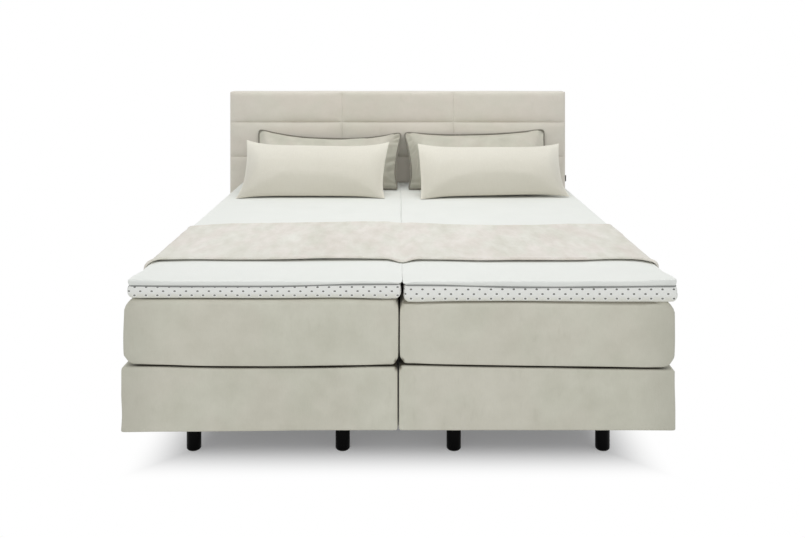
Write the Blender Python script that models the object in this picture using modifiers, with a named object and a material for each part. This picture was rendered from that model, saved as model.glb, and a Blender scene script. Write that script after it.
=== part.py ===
"""A double box spring bed, built from the pieces it really has.

Two upholstered boxes on turned legs stand side by side, each with a wooden frame, a deck, a
coil unit and a foam case. Each carries a pocket spring mattress and a piped topper. A quilted
headboard stands on the floor behind them. Two pairs of cushions lean on it, and a runner lies
across both toppers.

Lengths are metres. X runs across the bed, Y from the foot to the head, Z up from the floor.
The origin is on the floor, under the middle of the whole bed.
"""

import math

import bmesh
import bpy
from mathutils import Matrix, Vector
from mathutils.bvhtree import BVHTree

# Fits
CLEARANCE = 0.0003
CUT_OVERRUN = 0.010
ZIP_SLOT_HEIGHT = 0.002
ZIP_LENGTH_SHARE = 0.7

# Boxes
BOX_WIDTH = 0.897
BOX_LENGTH = 2.100
BOX_HEIGHT = 0.206
BOX_GAP = 0.006
BOX_EDGE_RADIUS = 0.020
BOX_COVER_THICKNESS = 0.010
DUST_CLOTH_THICKNESS = 0.0015

# Wooden frame in each box
RAIL_HEIGHT = 0.075
RAIL_THICKNESS = 0.022
LEG_RAIL_WIDTH = 0.090
LEG_RAIL_HEIGHT = 0.045
DECK_THICKNESS = 0.006

# Foam case and coil unit in each box
FOAM_CASE_WALL = 0.040
FOAM_CASE_TOP = 0.020
COIL_COLUMNS = 3
COIL_ROWS = 5
COIL_DIAMETER = 0.180
COIL_TURNS = 2
COIL_POINTS_PER_TURN = 8
COIL_WIRE_DIAMETER = 0.005
COIL_SIDE_MARGIN = 0.015

# Legs
LEG_HEIGHT = 0.150
LEG_DIAMETER = 0.050
LEG_CHAMFER = 0.002
LEG_SIDE_INSET = 0.190
LEG_END_INSET = 0.202
LEG_STEPS = 20
STUD_DIAMETER = 0.010
STUD_LENGTH = 0.032
STUD_SIDES = 12

# Link brackets between the boxes, and headboard brackets
BRACKET_THICKNESS = 0.004
BRACKET_WIDTH = 0.040
LINK_BRACKET_LENGTH = 0.160
HEAD_BRACKET_REACH = 0.110
HEAD_BRACKET_DROP = 0.100
SCREW_HOLE_DIAMETER = 0.006
SCREW_HOLE_EDGE_DISTANCE = 0.020
SCREW_HOLE_SIDES = 8

# Mattresses
MATTRESS_NARROWER = 0.007
MATTRESS_HEIGHT = 0.215
MATTRESS_GAP = 0.006
MATTRESS_SHIFT = 0.003
MATTRESS_FOOT_INSET = 0.005
MATTRESS_EDGE_RADIUS = 0.030
MATTRESS_COVER_THICKNESS = 0.014
MATTRESS_BOTTOM_FOAM = 0.030
MATTRESS_TOP_FOAM = 0.045
POCKET_STRINGS = 4
POCKETS_PER_STRING = 9
POCKET_NECK = 0.020
POCKET_STRING_GAP = 0.004
POCKET_CORE_MARGIN = 0.010

# Toppers
TOPPER_NARROWER = 0.001
TOPPER_HEIGHT = 0.065
TOPPER_GAP = 0.0026
TOPPER_SHIFT = 0.0132
TOPPER_FOOT_INSET = 0.002
TOPPER_EDGE_RADIUS = 0.016
TOPPER_COVER_THICKNESS = 0.008
TOPPER_PIPING_DIAMETER = 0.006
TOPPER_PIPING_CORNER_STEPS = 4

# Headboard
HEADBOARD_WIDTH = 1.881
HEADBOARD_HEIGHT = 1.142
HEADBOARD_DEPTH = 0.120
HEADBOARD_COLUMNS = 3
HEADBOARD_ROWS = 6
HEADBOARD_TOP_ROW = 0.172
HEADBOARD_CROWN = 0.012
HEADBOARD_PAD = 0.030
HEADBOARD_WALL = 0.010
HEADBOARD_BOARD_THICKNESS = 0.012
HEADBOARD_STILE_WIDTH = 0.070
HEADBOARD_FRAME_COLUMNS = 2
HEADBOARD_FRAME_ROWS = 2
BACK_CLOTH_THICKNESS = 0.0015
PANEL_SHARES = (0.0, 0.06, 0.25, 0.5, 0.75, 0.94)
PANEL_CROWN_POWER = 4

# Blank tab sewn to the headboard's right side
TAB_REACH = 0.010
TAB_HEIGHT = 0.034
TAB_THICKNESS = 0.002
TAB_BOTTOM = 0.634
TAB_DEPTH_FROM_FRONT = 0.030

# Rear cushions, piped
REAR_CUSHION_WIDTH = 0.780
REAR_CUSHION_HEIGHT = 0.400
REAR_CUSHION_THICKNESS = 0.160
REAR_CUSHION_GAP = 0.015
REAR_CUSHION_SHIFT = 0.0205
REAR_CUSHION_LEAN = 47.0
REAR_CUSHION_SIDE_DRAW = 0.030
REAR_CUSHION_EDGE_DRAW = 0.022
REAR_PIPING_DIAMETER = 0.007

# Front cushions, plain
FRONT_CUSHION_WIDTH = 0.740
FRONT_CUSHION_HEIGHT = 0.380
FRONT_CUSHION_THICKNESS = 0.160
FRONT_CUSHION_GAP = 0.174
FRONT_CUSHION_SHIFT = 0.025
FRONT_CUSHION_LEAN = 51.0
FRONT_CUSHION_SIDE_DRAW = 0.012
FRONT_CUSHION_EDGE_DRAW = 0.018

# Both pairs of cushions
CUSHION_RIM = 0.002
CUSHION_COLUMNS = 14
CUSHION_ROWS = 8
CUSHION_CROWN_POWER = 2.6
CUSHION_CORNER_SHARE = 0.012
CUSHION_CORNER_POWER = 10
CUSHION_SEAT_SEARCH = 0.400
CUSHION_SEAT_STEPS = 20

# Runner across both toppers
RUNNER_WIDTH = 0.640
RUNNER_FOOT_DISTANCE = 0.264
RUNNER_THICKNESS = 0.006
RUNNER_HANG = 0.200
RUNNER_DIP = 0.009
RUNNER_FOLDS = 3
RUNNER_FOLD_DEPTH = 0.012
RUNNER_ROWS = 12
RUNNER_HANG_STEPS = 3
RUNNER_TOP_STEPS = 3

BEVEL_SEGMENTS = 3
TUBE_RESOLUTION = 1
SMOOTH_ANGLE = math.radians(40)

SIDES = {"left": -1, "right": 1}

# Widths of what lies on a box
MATTRESS_WIDTH = BOX_WIDTH - MATTRESS_NARROWER
TOPPER_WIDTH = MATTRESS_WIDTH - TOPPER_NARROWER

# Levels above the floor
BOX_BOTTOM = LEG_HEIGHT
BOX_TOP = BOX_BOTTOM + BOX_HEIGHT
MATTRESS_BOTTOM = BOX_TOP + CLEARANCE
MATTRESS_TOP = MATTRESS_BOTTOM + MATTRESS_HEIGHT
TOPPER_BOTTOM = MATTRESS_TOP + CLEARANCE
TOPPER_TOP = TOPPER_BOTTOM + TOPPER_HEIGHT
PIPING_LEVEL = TOPPER_TOP - TOPPER_EDGE_RADIUS

# Places along the bed
OVERALL_LENGTH = BOX_LENGTH + CLEARANCE + HEADBOARD_DEPTH
FOOT_Y = -OVERALL_LENGTH / 2
BOX_HEAD_Y = FOOT_Y + BOX_LENGTH
HEADBOARD_FRONT_Y = BOX_HEAD_Y + CLEARANCE
HEADBOARD_BACK_Y = HEADBOARD_FRONT_Y + HEADBOARD_DEPTH
LEG_YS = {"foot": FOOT_Y + LEG_END_INSET, "head": BOX_HEAD_Y - LEG_END_INSET}

# Cavities under the covers
BOX_CAVITY_WIDTH = BOX_WIDTH - 2 * BOX_COVER_THICKNESS
BOX_CAVITY_LENGTH = BOX_LENGTH - 2 * BOX_COVER_THICKNESS
BOX_CAVITY_TOP = BOX_TOP - BOX_COVER_THICKNESS
FRAME_WIDTH = BOX_CAVITY_WIDTH - 2 * CLEARANCE
FRAME_LENGTH = BOX_CAVITY_LENGTH - 2 * CLEARANCE
FRAME_BOTTOM = BOX_BOTTOM + DUST_CLOTH_THICKNESS + CLEARANCE
DECK_BOTTOM = FRAME_BOTTOM + RAIL_HEIGHT + CLEARANCE
CASE_BOTTOM = DECK_BOTTOM + DECK_THICKNESS + CLEARANCE
TOPPER_COVER_WIDTH = TOPPER_WIDTH - 2 * (TOPPER_PIPING_DIAMETER + CLEARANCE)


def collection(name):
    """A new collection in the scene."""
    made = bpy.data.collections.new(name)
    bpy.context.scene.collection.children.link(made)
    return made


def material(name, colour, roughness, metallic=0.0):
    """A plain surface of one colour."""
    made = bpy.data.materials.new(name)
    made.use_nodes = True
    shader = made.node_tree.nodes["Principled BSDF"]
    shader.inputs["Base Color"].default_value = (*colour, 1.0)
    shader.inputs["Roughness"].default_value = roughness
    shader.inputs["Metallic"].default_value = metallic
    made.diffuse_color = (*colour, 1.0)
    return made


def as_mesh(shape, name):
    """Turns a bmesh into a mesh with smooth round faces, and frees it."""
    bmesh.ops.recalc_face_normals(shape, faces=shape.faces)
    mesh = bpy.data.meshes.new(name)
    shape.to_mesh(mesh)
    shape.free()
    mesh.shade_smooth()
    mesh.set_sharp_from_angle(angle=SMOOTH_ANGLE)
    return mesh


def add_piece(name, data, look, location=(0, 0, 0)):
    """One named sub-part of the bed."""
    piece = bpy.data.objects.new(name, data)
    piece.location = location
    data.materials.append(look)
    PIECES.objects.link(piece)
    return piece


def block_shape(size):
    """A box about its own centre, as a bmesh."""
    shape = bmesh.new()
    bmesh.ops.create_cube(shape, size=1.0)
    bmesh.ops.scale(shape, vec=size, verts=shape.verts)
    return shape


def block(name, size, centre, look):
    """A plain box."""
    return add_piece(name, as_mesh(block_shape(size), name), look, centre)


def rounded_block(name, size, centre, radius, look, sharp_bottom=False):
    """A box with rounded edges. Its lower edges stay sharp where it is cut open below."""
    shape = block_shape(size)
    rounded = [
        edge
        for edge in shape.edges
        if not (sharp_bottom and all(vertex.co.z < 0 for vertex in edge.verts))
    ]
    bmesh.ops.bevel(
        shape,
        geom=rounded,
        offset=radius,
        offset_type="OFFSET",
        segments=BEVEL_SEGMENTS,
        profile=0.5,
        affect="EDGES",
        clamp_overlap=True,
    )
    return add_piece(name, as_mesh(shape, name), look, centre)


def cut(piece, cutter):
    """Takes a cutter out of a piece, and keeps the cutter as a guide."""
    CUTTERS.objects.link(cutter)
    cutter.hide_render = True
    cutter.display_type = "WIRE"
    difference = piece.modifiers.new(cutter.name, "BOOLEAN")
    difference.operation = "DIFFERENCE"
    difference.object = cutter
    difference.solver = "EXACT"


def cut_box(piece, name, low, high):
    """Takes a box between two corners out of a piece."""
    low = Vector(low)
    high = Vector(high)
    cutter = bpy.data.objects.new(name, as_mesh(block_shape(high - low), name))
    cutter.location = (low + high) / 2
    cut(piece, cutter)


def cut_round_hole(piece, name, diameter, sides, centre, axis, length):
    """Drills a round hole through a piece."""
    shape = bmesh.new()
    bmesh.ops.create_cone(
        shape,
        cap_ends=True,
        segments=sides,
        radius1=diameter / 2,
        radius2=diameter / 2,
        depth=length,
    )
    cutter = bpy.data.objects.new(name, as_mesh(shape, name))
    cutter.rotation_euler = Vector(axis).to_track_quat("Z", "Y").to_euler()
    cutter.location = centre
    cut(piece, cutter)


def tube(name, points, diameter, look, closed=False, resolution=TUBE_RESOLUTION):
    """A round wire or cord through the given points."""
    curve = bpy.data.curves.new(name, "CURVE")
    curve.dimensions = "3D"
    curve.bevel_depth = diameter / 2
    curve.bevel_resolution = resolution
    curve.use_fill_caps = not closed
    spline = curve.splines.new("POLY")
    spline.points.add(len(points) - 1)
    for point, place in zip(spline.points, points):
        point.co = (*place, 1.0)
    spline.use_cyclic_u = closed
    return add_piece(name, curve, look)


def extruded_outline(name, outline, width, look):
    """A flat outline in the YZ plane, as wide as asked along X and centred on it."""
    curve = bpy.data.curves.new(name, "CURVE")
    curve.dimensions = "2D"
    curve.fill_mode = "BOTH"
    curve.extrude = width / 2
    spline = curve.splines.new("POLY")
    spline.points.add(len(outline) - 1)
    for point, place in zip(spline.points, outline):
        point.co = (*place, 0.0, 1.0)
    spline.use_cyclic_u = True
    return solid_from_curve(name, curve, look)


def solid_from_curve(name, curve, look):
    """Makes a curve a welded mesh, standing with its own X along Y and its own Y along Z."""
    holder = bpy.data.objects.new(name + "_outline", curve)
    bpy.context.scene.collection.objects.link(holder)
    graph = bpy.context.evaluated_depsgraph_get()
    mesh = bpy.data.meshes.new_from_object(holder.evaluated_get(graph))
    bpy.data.objects.remove(holder)
    shape = bmesh.new()
    shape.from_mesh(mesh)
    bpy.data.meshes.remove(mesh)
    bmesh.ops.remove_doubles(shape, verts=shape.verts, dist=CLEARANCE / 10)
    stand = Matrix(((0, 0, 1), (1, 0, 0), (0, 1, 0)))
    bmesh.ops.transform(shape, matrix=stand.to_4x4(), verts=shape.verts)
    return add_piece(name, as_mesh(shape, name), look)


def pair_centre(side, width, gap, shift=0.0):
    """The middle of the left or the right one of two like pieces."""
    return shift + SIDES[side] * (width + gap) / 2


def coil_unit_path(width, length, low, high):
    """One wire that winds every coil, up one and down the next, with tangent links between."""
    radius = COIL_DIAMETER / 2
    reach_x = width / 2 - radius
    reach_y = length / 2 - radius
    columns = [reach_x * (2 * i / (COIL_COLUMNS - 1) - 1) for i in range(COIL_COLUMNS)]
    rows = [reach_y * (2 * j / (COIL_ROWS - 1) - 1) for j in range(COIL_ROWS)]
    points = []
    rising = True
    entry = 0.0
    for i, x in enumerate(columns):
        towards_head = i % 2 == 0
        order = rows if towards_head else list(reversed(rows))
        along = 0.0 if towards_head else math.pi
        for j, y in enumerate(order):
            last_in_column = j == len(order) - 1
            turns_away = last_in_column and i < len(columns) - 1
            leave = -math.pi / 2 if turns_away else along
            sweep = (leave - entry) % (2 * math.pi) + 2 * math.pi * COIL_TURNS
            steps = round(sweep / (2 * math.pi) * COIL_POINTS_PER_TURN)
            for step in range(steps + 1):
                share = step / steps
                angle = entry + sweep * share
                climb = share if rising else 1 - share
                place = (
                    x + radius * math.cos(angle),
                    y + radius * math.sin(angle),
                    low + (high - low) * climb,
                )
                points.append(Vector(place))
            rising = not rising
            entry = leave
    return points


def least_gap(points, diameter, skip):
    """The least free space between turns of a wire, on its own points."""
    nearest = min(
        (points[i] - points[j]).length
        for i in range(len(points))
        for j in range(i + skip, len(points))
    )
    return nearest - diameter


def pocket_string_outline(width, length):
    """The plan of one string of spring pockets, laid to and fro across the mattress.

    Each pocket swells to the string's full width and narrows to a neck at the next one.
    The string's left edge is followed to its end, and its right edge back again.
    """
    pitch_x = (width + POCKET_STRING_GAP) / POCKET_STRINGS
    full = pitch_x - POCKET_STRING_GAP
    pitch_y = length / POCKETS_PER_STRING
    shoulder = pitch_y / 4
    left_edge = []
    right_edge = []
    for string in range(POCKET_STRINGS):
        x = -width / 2 + full / 2 + string * pitch_x
        heading = 1 if string % 2 == 0 else -1
        last_string = string == POCKET_STRINGS - 1
        for pocket in range(POCKETS_PER_STRING):
            start = heading * (pocket * pitch_y - length / 2)
            first = pocket == 0
            last = pocket == POCKETS_PER_STRING - 1
            for distance in (shoulder, pitch_y - shoulder):
                y = start + heading * distance
                left_edge.append((x - heading * full / 2, y))
                right_edge.append((x + heading * full / 2, y))
            if not last:
                y = start + heading * pitch_y
                left_edge.append((x - heading * POCKET_NECK / 2, y))
                right_edge.append((x + heading * POCKET_NECK / 2, y))
            if first and string == 0:
                left_edge.insert(0, (x - POCKET_NECK / 2, -length / 2))
                right_edge.insert(0, (x + POCKET_NECK / 2, -length / 2))
        end = heading * length / 2
        outer = (x - heading * full / 4, end)
        if last_string:
            left_edge.append(outer)
            right_edge.append((x + heading * full / 4, end))
            continue
        across = x + pitch_x
        outer_edge = left_edge if heading > 0 else right_edge
        inner_edge = right_edge if heading > 0 else left_edge
        outer_edge.append((x - full / 4, end))
        outer_edge.append((across + full / 4, end))
        inner_edge.append((x + full / 2, end - heading * POCKET_NECK))
        inner_edge.append((across - full / 2, end - heading * POCKET_NECK))
    return left_edge + list(reversed(right_edge))


def prism(name, outline, low, high, centre, look):
    """A plan outline raised to a height."""
    shape = bmesh.new()
    corners = [shape.verts.new((x, y, low)) for x, y in outline]
    floor = shape.faces.new(corners)
    raised = bmesh.ops.extrude_face_region(shape, geom=[floor])
    top = [item for item in raised["geom"] if isinstance(item, bmesh.types.BMVert)]
    bmesh.ops.translate(shape, vec=(0, 0, high - low), verts=top)
    return add_piece(name, as_mesh(shape, name), look, (*centre, 0))


def build_box(side):
    """One upholstered box: its cover, wooden frame, deck, coil unit, foam case and dust cloth."""
    x = pair_centre(side, BOX_WIDTH, BOX_GAP)
    y = FOOT_Y + BOX_LENGTH / 2
    left = x - FRAME_WIDTH / 2
    foot = y - FRAME_LENGTH / 2

    cover = rounded_block(
        f"box_cover_{side}",
        (BOX_WIDTH, BOX_LENGTH, BOX_HEIGHT),
        (x, y, BOX_BOTTOM + BOX_HEIGHT / 2),
        BOX_EDGE_RADIUS,
        VELVET,
        sharp_bottom=True,
    )
    cut_box(
        cover,
        f"box_cavity_{side}",
        (x - BOX_CAVITY_WIDTH / 2, y - BOX_CAVITY_LENGTH / 2, BOX_BOTTOM - CUT_OVERRUN),
        (x + BOX_CAVITY_WIDTH / 2, y + BOX_CAVITY_LENGTH / 2, BOX_CAVITY_TOP),
    )

    rail_level = FRAME_BOTTOM + RAIL_HEIGHT / 2
    rail_offset = (FRAME_WIDTH - RAIL_THICKNESS) / 2
    for rail, direction in (("outer", SIDES[side]), ("inner", -SIDES[side])):
        block(
            f"{rail}_rail_{side}",
            (RAIL_THICKNESS, FRAME_LENGTH, RAIL_HEIGHT),
            (x + direction * rail_offset, y, rail_level),
            WOOD,
        )
    cross_width = FRAME_WIDTH - 2 * (RAIL_THICKNESS + CLEARANCE)
    end_offset = (FRAME_LENGTH - RAIL_THICKNESS) / 2
    for rail, direction in (("foot", -1), ("head", 1)):
        block(
            f"{rail}_rail_{side}",
            (cross_width, RAIL_THICKNESS, RAIL_HEIGHT),
            (x, y + direction * end_offset, rail_level),
            WOOD,
        )

    dust_cloth = block(
        f"dust_cloth_{side}",
        (FRAME_WIDTH, FRAME_LENGTH, DUST_CLOTH_THICKNESS),
        (x, y, BOX_BOTTOM + DUST_CLOTH_THICKNESS / 2),
        DUST_CLOTH,
    )
    stud_hole = STUD_DIAMETER + 2 * CLEARANCE
    for end, leg_y in LEG_YS.items():
        leg_rail = block(
            f"{end}_leg_rail_{side}",
            (cross_width, LEG_RAIL_WIDTH, LEG_RAIL_HEIGHT),
            (x, leg_y, FRAME_BOTTOM + LEG_RAIL_HEIGHT / 2),
            WOOD,
        )
        for place, leg_x in leg_xs(side).items():
            for piece in (leg_rail, dust_cloth):
                cut_round_hole(
                    piece,
                    f"stud_hole_{piece.name}_{end}_{place}",
                    stud_hole,
                    STUD_SIDES,
                    (leg_x, leg_y, FRAME_BOTTOM + LEG_RAIL_HEIGHT / 2),
                    (0, 0, 1),
                    LEG_RAIL_HEIGHT + 2 * CUT_OVERRUN,
                )

    block(
        f"deck_board_{side}",
        (FRAME_WIDTH, FRAME_LENGTH, DECK_THICKNESS),
        (x, y, DECK_BOTTOM + DECK_THICKNESS / 2),
        WOOD,
    )

    case_top = BOX_CAVITY_TOP - CLEARANCE
    coil_space_top = case_top - FOAM_CASE_TOP
    case = block(
        f"foam_case_{side}",
        (FRAME_WIDTH, FRAME_LENGTH, case_top - CASE_BOTTOM),
        (x, y, (CASE_BOTTOM + case_top) / 2),
        FOAM,
    )
    cut_box(
        case,
        f"coil_space_{side}",
        (left + FOAM_CASE_WALL, foot + FOAM_CASE_WALL, CASE_BOTTOM - CUT_OVERRUN),
        (
            left + FRAME_WIDTH - FOAM_CASE_WALL,
            foot + FRAME_LENGTH - FOAM_CASE_WALL,
            coil_space_top,
        ),
    )

    margin = 2 * (FOAM_CASE_WALL + COIL_SIDE_MARGIN)
    wire_seat = COIL_WIRE_DIAMETER / 2
    path = coil_unit_path(
        FRAME_WIDTH - margin,
        FRAME_LENGTH - margin,
        CASE_BOTTOM + wire_seat,
        coil_space_top - CLEARANCE - wire_seat,
    )
    gap = least_gap(path, COIL_WIRE_DIAMETER, COIL_POINTS_PER_TURN - 1)
    print(f"coil unit {side}: least gap between turns {gap * 1000:.1f} mm")
    place = Vector((x, y, 0))
    tube(
        f"spring_unit_{side}",
        [point + place for point in path],
        COIL_WIRE_DIAMETER,
        SPRING_STEEL,
        resolution=0,
    )


def leg_xs(side):
    """Where a box's outer and inner legs stand."""
    x = pair_centre(side, BOX_WIDTH, BOX_GAP)
    reach = SIDES[side] * (BOX_WIDTH / 2 - LEG_SIDE_INSET)
    return {"outer": x + reach, "inner": x - reach}


def build_legs(side):
    """Four turned legs, each with a stud that runs up into a leg rail."""
    radius = LEG_DIAMETER / 2
    top = LEG_HEIGHT - CLEARANCE
    stud_top = top + STUD_LENGTH
    profile = (
        (0, stud_top),
        (STUD_DIAMETER / 2, stud_top),
        (STUD_DIAMETER / 2, top),
        (radius - LEG_CHAMFER, top),
        (radius, top - LEG_CHAMFER),
        (radius, LEG_CHAMFER),
        (radius - LEG_CHAMFER, 0),
        (0, 0),
    )
    for end, leg_y in LEG_YS.items():
        for place, leg_x in leg_xs(side).items():
            name = f"{end}_{place}_leg_{side}"
            shape = bmesh.new()
            ring = [shape.verts.new((x, 0, z)) for x, z in profile]
            for upper, lower in zip(ring, ring[1:]):
                shape.edges.new((upper, lower))
            mesh = bpy.data.meshes.new(name)
            shape.to_mesh(mesh)
            shape.free()
            leg = add_piece(name, mesh, BLACK_LACQUER, (leg_x, leg_y, 0))
            screw = leg.modifiers.new("turned", "SCREW")
            screw.steps = LEG_STEPS
            screw.render_steps = LEG_STEPS
            screw.use_merge_vertices = True
            screw.merge_threshold = CLEARANCE / 10
            screw.use_smooth_shade = True


def build_link_brackets():
    """Two flat steel plates that tie the boxes together from below."""
    level = BOX_BOTTOM - CLEARANCE - BRACKET_THICKNESS / 2
    hole_reach = LINK_BRACKET_LENGTH / 2 - SCREW_HOLE_EDGE_DISTANCE
    for end, leg_y in LEG_YS.items():
        plate = block(
            f"{end}_link_bracket",
            (LINK_BRACKET_LENGTH, BRACKET_WIDTH, BRACKET_THICKNESS),
            (0, leg_y, level),
            STEEL,
        )
        for number, direction in enumerate((-1, 1)):
            cut_round_hole(
                plate,
                f"screw_hole_{end}_link_{number}",
                SCREW_HOLE_DIAMETER,
                SCREW_HOLE_SIDES,
                (direction * hole_reach, leg_y, level),
                (0, 0, 1),
                BRACKET_THICKNESS + 2 * CUT_OVERRUN,
            )


def build_head_bracket(side):
    """A steel angle from the underside of a box to the front of the headboard."""
    x = pair_centre(side, BOX_WIDTH, BOX_GAP)
    top = BOX_BOTTOM - CLEARANCE
    under = top - BRACKET_THICKNESS
    low = top - HEAD_BRACKET_DROP
    back = HEADBOARD_FRONT_Y - CLEARANCE
    inner = back - BRACKET_THICKNESS
    reach = back - HEAD_BRACKET_REACH
    outline = (
        (reach, top),
        (reach, under),
        (inner, under),
        (inner, low),
        (back, low),
        (back, top),
    )
    angle = extruded_outline(f"headboard_bracket_{side}", outline, BRACKET_WIDTH, STEEL)
    angle.location.x = x
    cut_round_hole(
        angle,
        f"screw_hole_under_{side}",
        SCREW_HOLE_DIAMETER,
        SCREW_HOLE_SIDES,
        (x, reach + SCREW_HOLE_EDGE_DISTANCE, (top + under) / 2),
        (0, 0, 1),
        BRACKET_THICKNESS + 2 * CUT_OVERRUN,
    )
    cut_round_hole(
        angle,
        f"screw_hole_back_{side}",
        SCREW_HOLE_DIAMETER,
        SCREW_HOLE_SIDES,
        (x, (inner + back) / 2, low + SCREW_HOLE_EDGE_DISTANCE),
        (0, 1, 0),
        BRACKET_THICKNESS + 2 * CUT_OVERRUN,
    )


def padded_cover(name, size, centre, radius, wall, look):
    """A closed cover over a hollow, with the slot of its zip in the end at the head."""
    cover = rounded_block(name, size, centre, radius, look)
    middle = Vector(centre)
    half = Vector(size) / 2
    hollow = half - Vector((wall, wall, wall))
    cut_box(cover, name + "_hollow", middle - hollow, middle + hollow)
    zip_half = Vector((size[0] * ZIP_LENGTH_SHARE / 2, 0, ZIP_SLOT_HEIGHT / 2))
    inside = Vector((0, hollow.y - CUT_OVERRUN, 0))
    outside = Vector((0, half.y + CUT_OVERRUN, 0))
    cut_box(cover, name + "_zip", middle + inside - zip_half, middle + outside + zip_half)
    return hollow * 2


def build_mattress(side):
    """One mattress: its cover, a foam below, a string of spring pockets and a foam above."""
    length = BOX_LENGTH - MATTRESS_FOOT_INSET
    x = pair_centre(side, MATTRESS_WIDTH, MATTRESS_GAP, MATTRESS_SHIFT)
    y = BOX_HEAD_Y - length / 2
    inside = padded_cover(
        f"mattress_cover_{side}",
        (MATTRESS_WIDTH, length, MATTRESS_HEIGHT),
        (x, y, MATTRESS_BOTTOM + MATTRESS_HEIGHT / 2),
        MATTRESS_EDGE_RADIUS,
        MATTRESS_COVER_THICKNESS,
        VELVET,
    )
    width = inside.x - 2 * CLEARANCE
    depth = inside.y - 2 * CLEARANCE
    low = MATTRESS_BOTTOM + MATTRESS_COVER_THICKNESS + CLEARANCE
    high = MATTRESS_TOP - MATTRESS_COVER_THICKNESS - CLEARANCE
    block(
        f"mattress_bottom_foam_{side}",
        (width, depth, MATTRESS_BOTTOM_FOAM),
        (x, y, low + MATTRESS_BOTTOM_FOAM / 2),
        FOAM,
    )
    block(
        f"mattress_top_foam_{side}",
        (width, depth, MATTRESS_TOP_FOAM),
        (x, y, high - MATTRESS_TOP_FOAM / 2),
        FOAM,
    )
    prism(
        f"pocket_spring_core_{side}",
        pocket_string_outline(width - 2 * POCKET_CORE_MARGIN, depth - 2 * POCKET_CORE_MARGIN),
        low + MATTRESS_BOTTOM_FOAM + CLEARANCE,
        high - MATTRESS_TOP_FOAM - CLEARANCE,
        (x, y),
        POCKET_CLOTH,
    )


def rounded_rectangle(width, length, radius, steps, level):
    """Points round a rectangle with round corners, at one level."""
    corners = ((1, 1, 0), (-1, 1, 1), (-1, -1, 2), (1, -1, 3))
    points = []
    for sign_x, sign_y, quarter in corners:
        centre_x = sign_x * (width / 2 - radius)
        centre_y = sign_y * (length / 2 - radius)
        for step in range(steps + 1):
            angle = (quarter + step / steps) * math.pi / 2
            x = centre_x + radius * math.cos(angle)
            y = centre_y + radius * math.sin(angle)
            points.append(Vector((x, y, level)))
    return points


def build_topper(side):
    """One topper: its cover, its foam core and the piping round its upper edge."""
    seat = TOPPER_PIPING_DIAMETER / 2 + CLEARANCE
    length = BOX_LENGTH - TOPPER_FOOT_INSET - 2 * (TOPPER_PIPING_DIAMETER + CLEARANCE)
    x = pair_centre(side, TOPPER_WIDTH, TOPPER_GAP, TOPPER_SHIFT)
    y = BOX_HEAD_Y - (BOX_LENGTH - TOPPER_FOOT_INSET) / 2
    level = TOPPER_BOTTOM + TOPPER_HEIGHT / 2
    inside = padded_cover(
        f"topper_cover_{side}",
        (TOPPER_COVER_WIDTH, length, TOPPER_HEIGHT),
        (x, y, level),
        TOPPER_EDGE_RADIUS,
        TOPPER_COVER_THICKNESS,
        KNIT,
    )
    core = inside - Vector((2 * CLEARANCE, 2 * CLEARANCE, 2 * CLEARANCE))
    block(f"topper_core_{side}", core, (x, y, level), FOAM)
    ring = rounded_rectangle(
        TOPPER_COVER_WIDTH + 2 * seat,
        length + 2 * seat,
        TOPPER_EDGE_RADIUS + seat,
        TOPPER_PIPING_CORNER_STEPS,
        PIPING_LEVEL,
    )
    place = Vector((x, y, 0))
    points = [point + place for point in ring]
    tube(f"topper_piping_{side}", points, TOPPER_PIPING_DIAMETER, GREY_PIPING, closed=True)


def panel_lines(edges):
    """Grid lines across a row of panels, closer beside each seam, with their crown shares."""
    lines = []
    for low, high in zip(edges, edges[1:]):
        for share in PANEL_SHARES:
            crown = 1 - abs(2 * share - 1) ** PANEL_CROWN_POWER
            lines.append((low + (high - low) * share, crown))
    lines.append((edges[-1], 0.0))
    return lines


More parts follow.
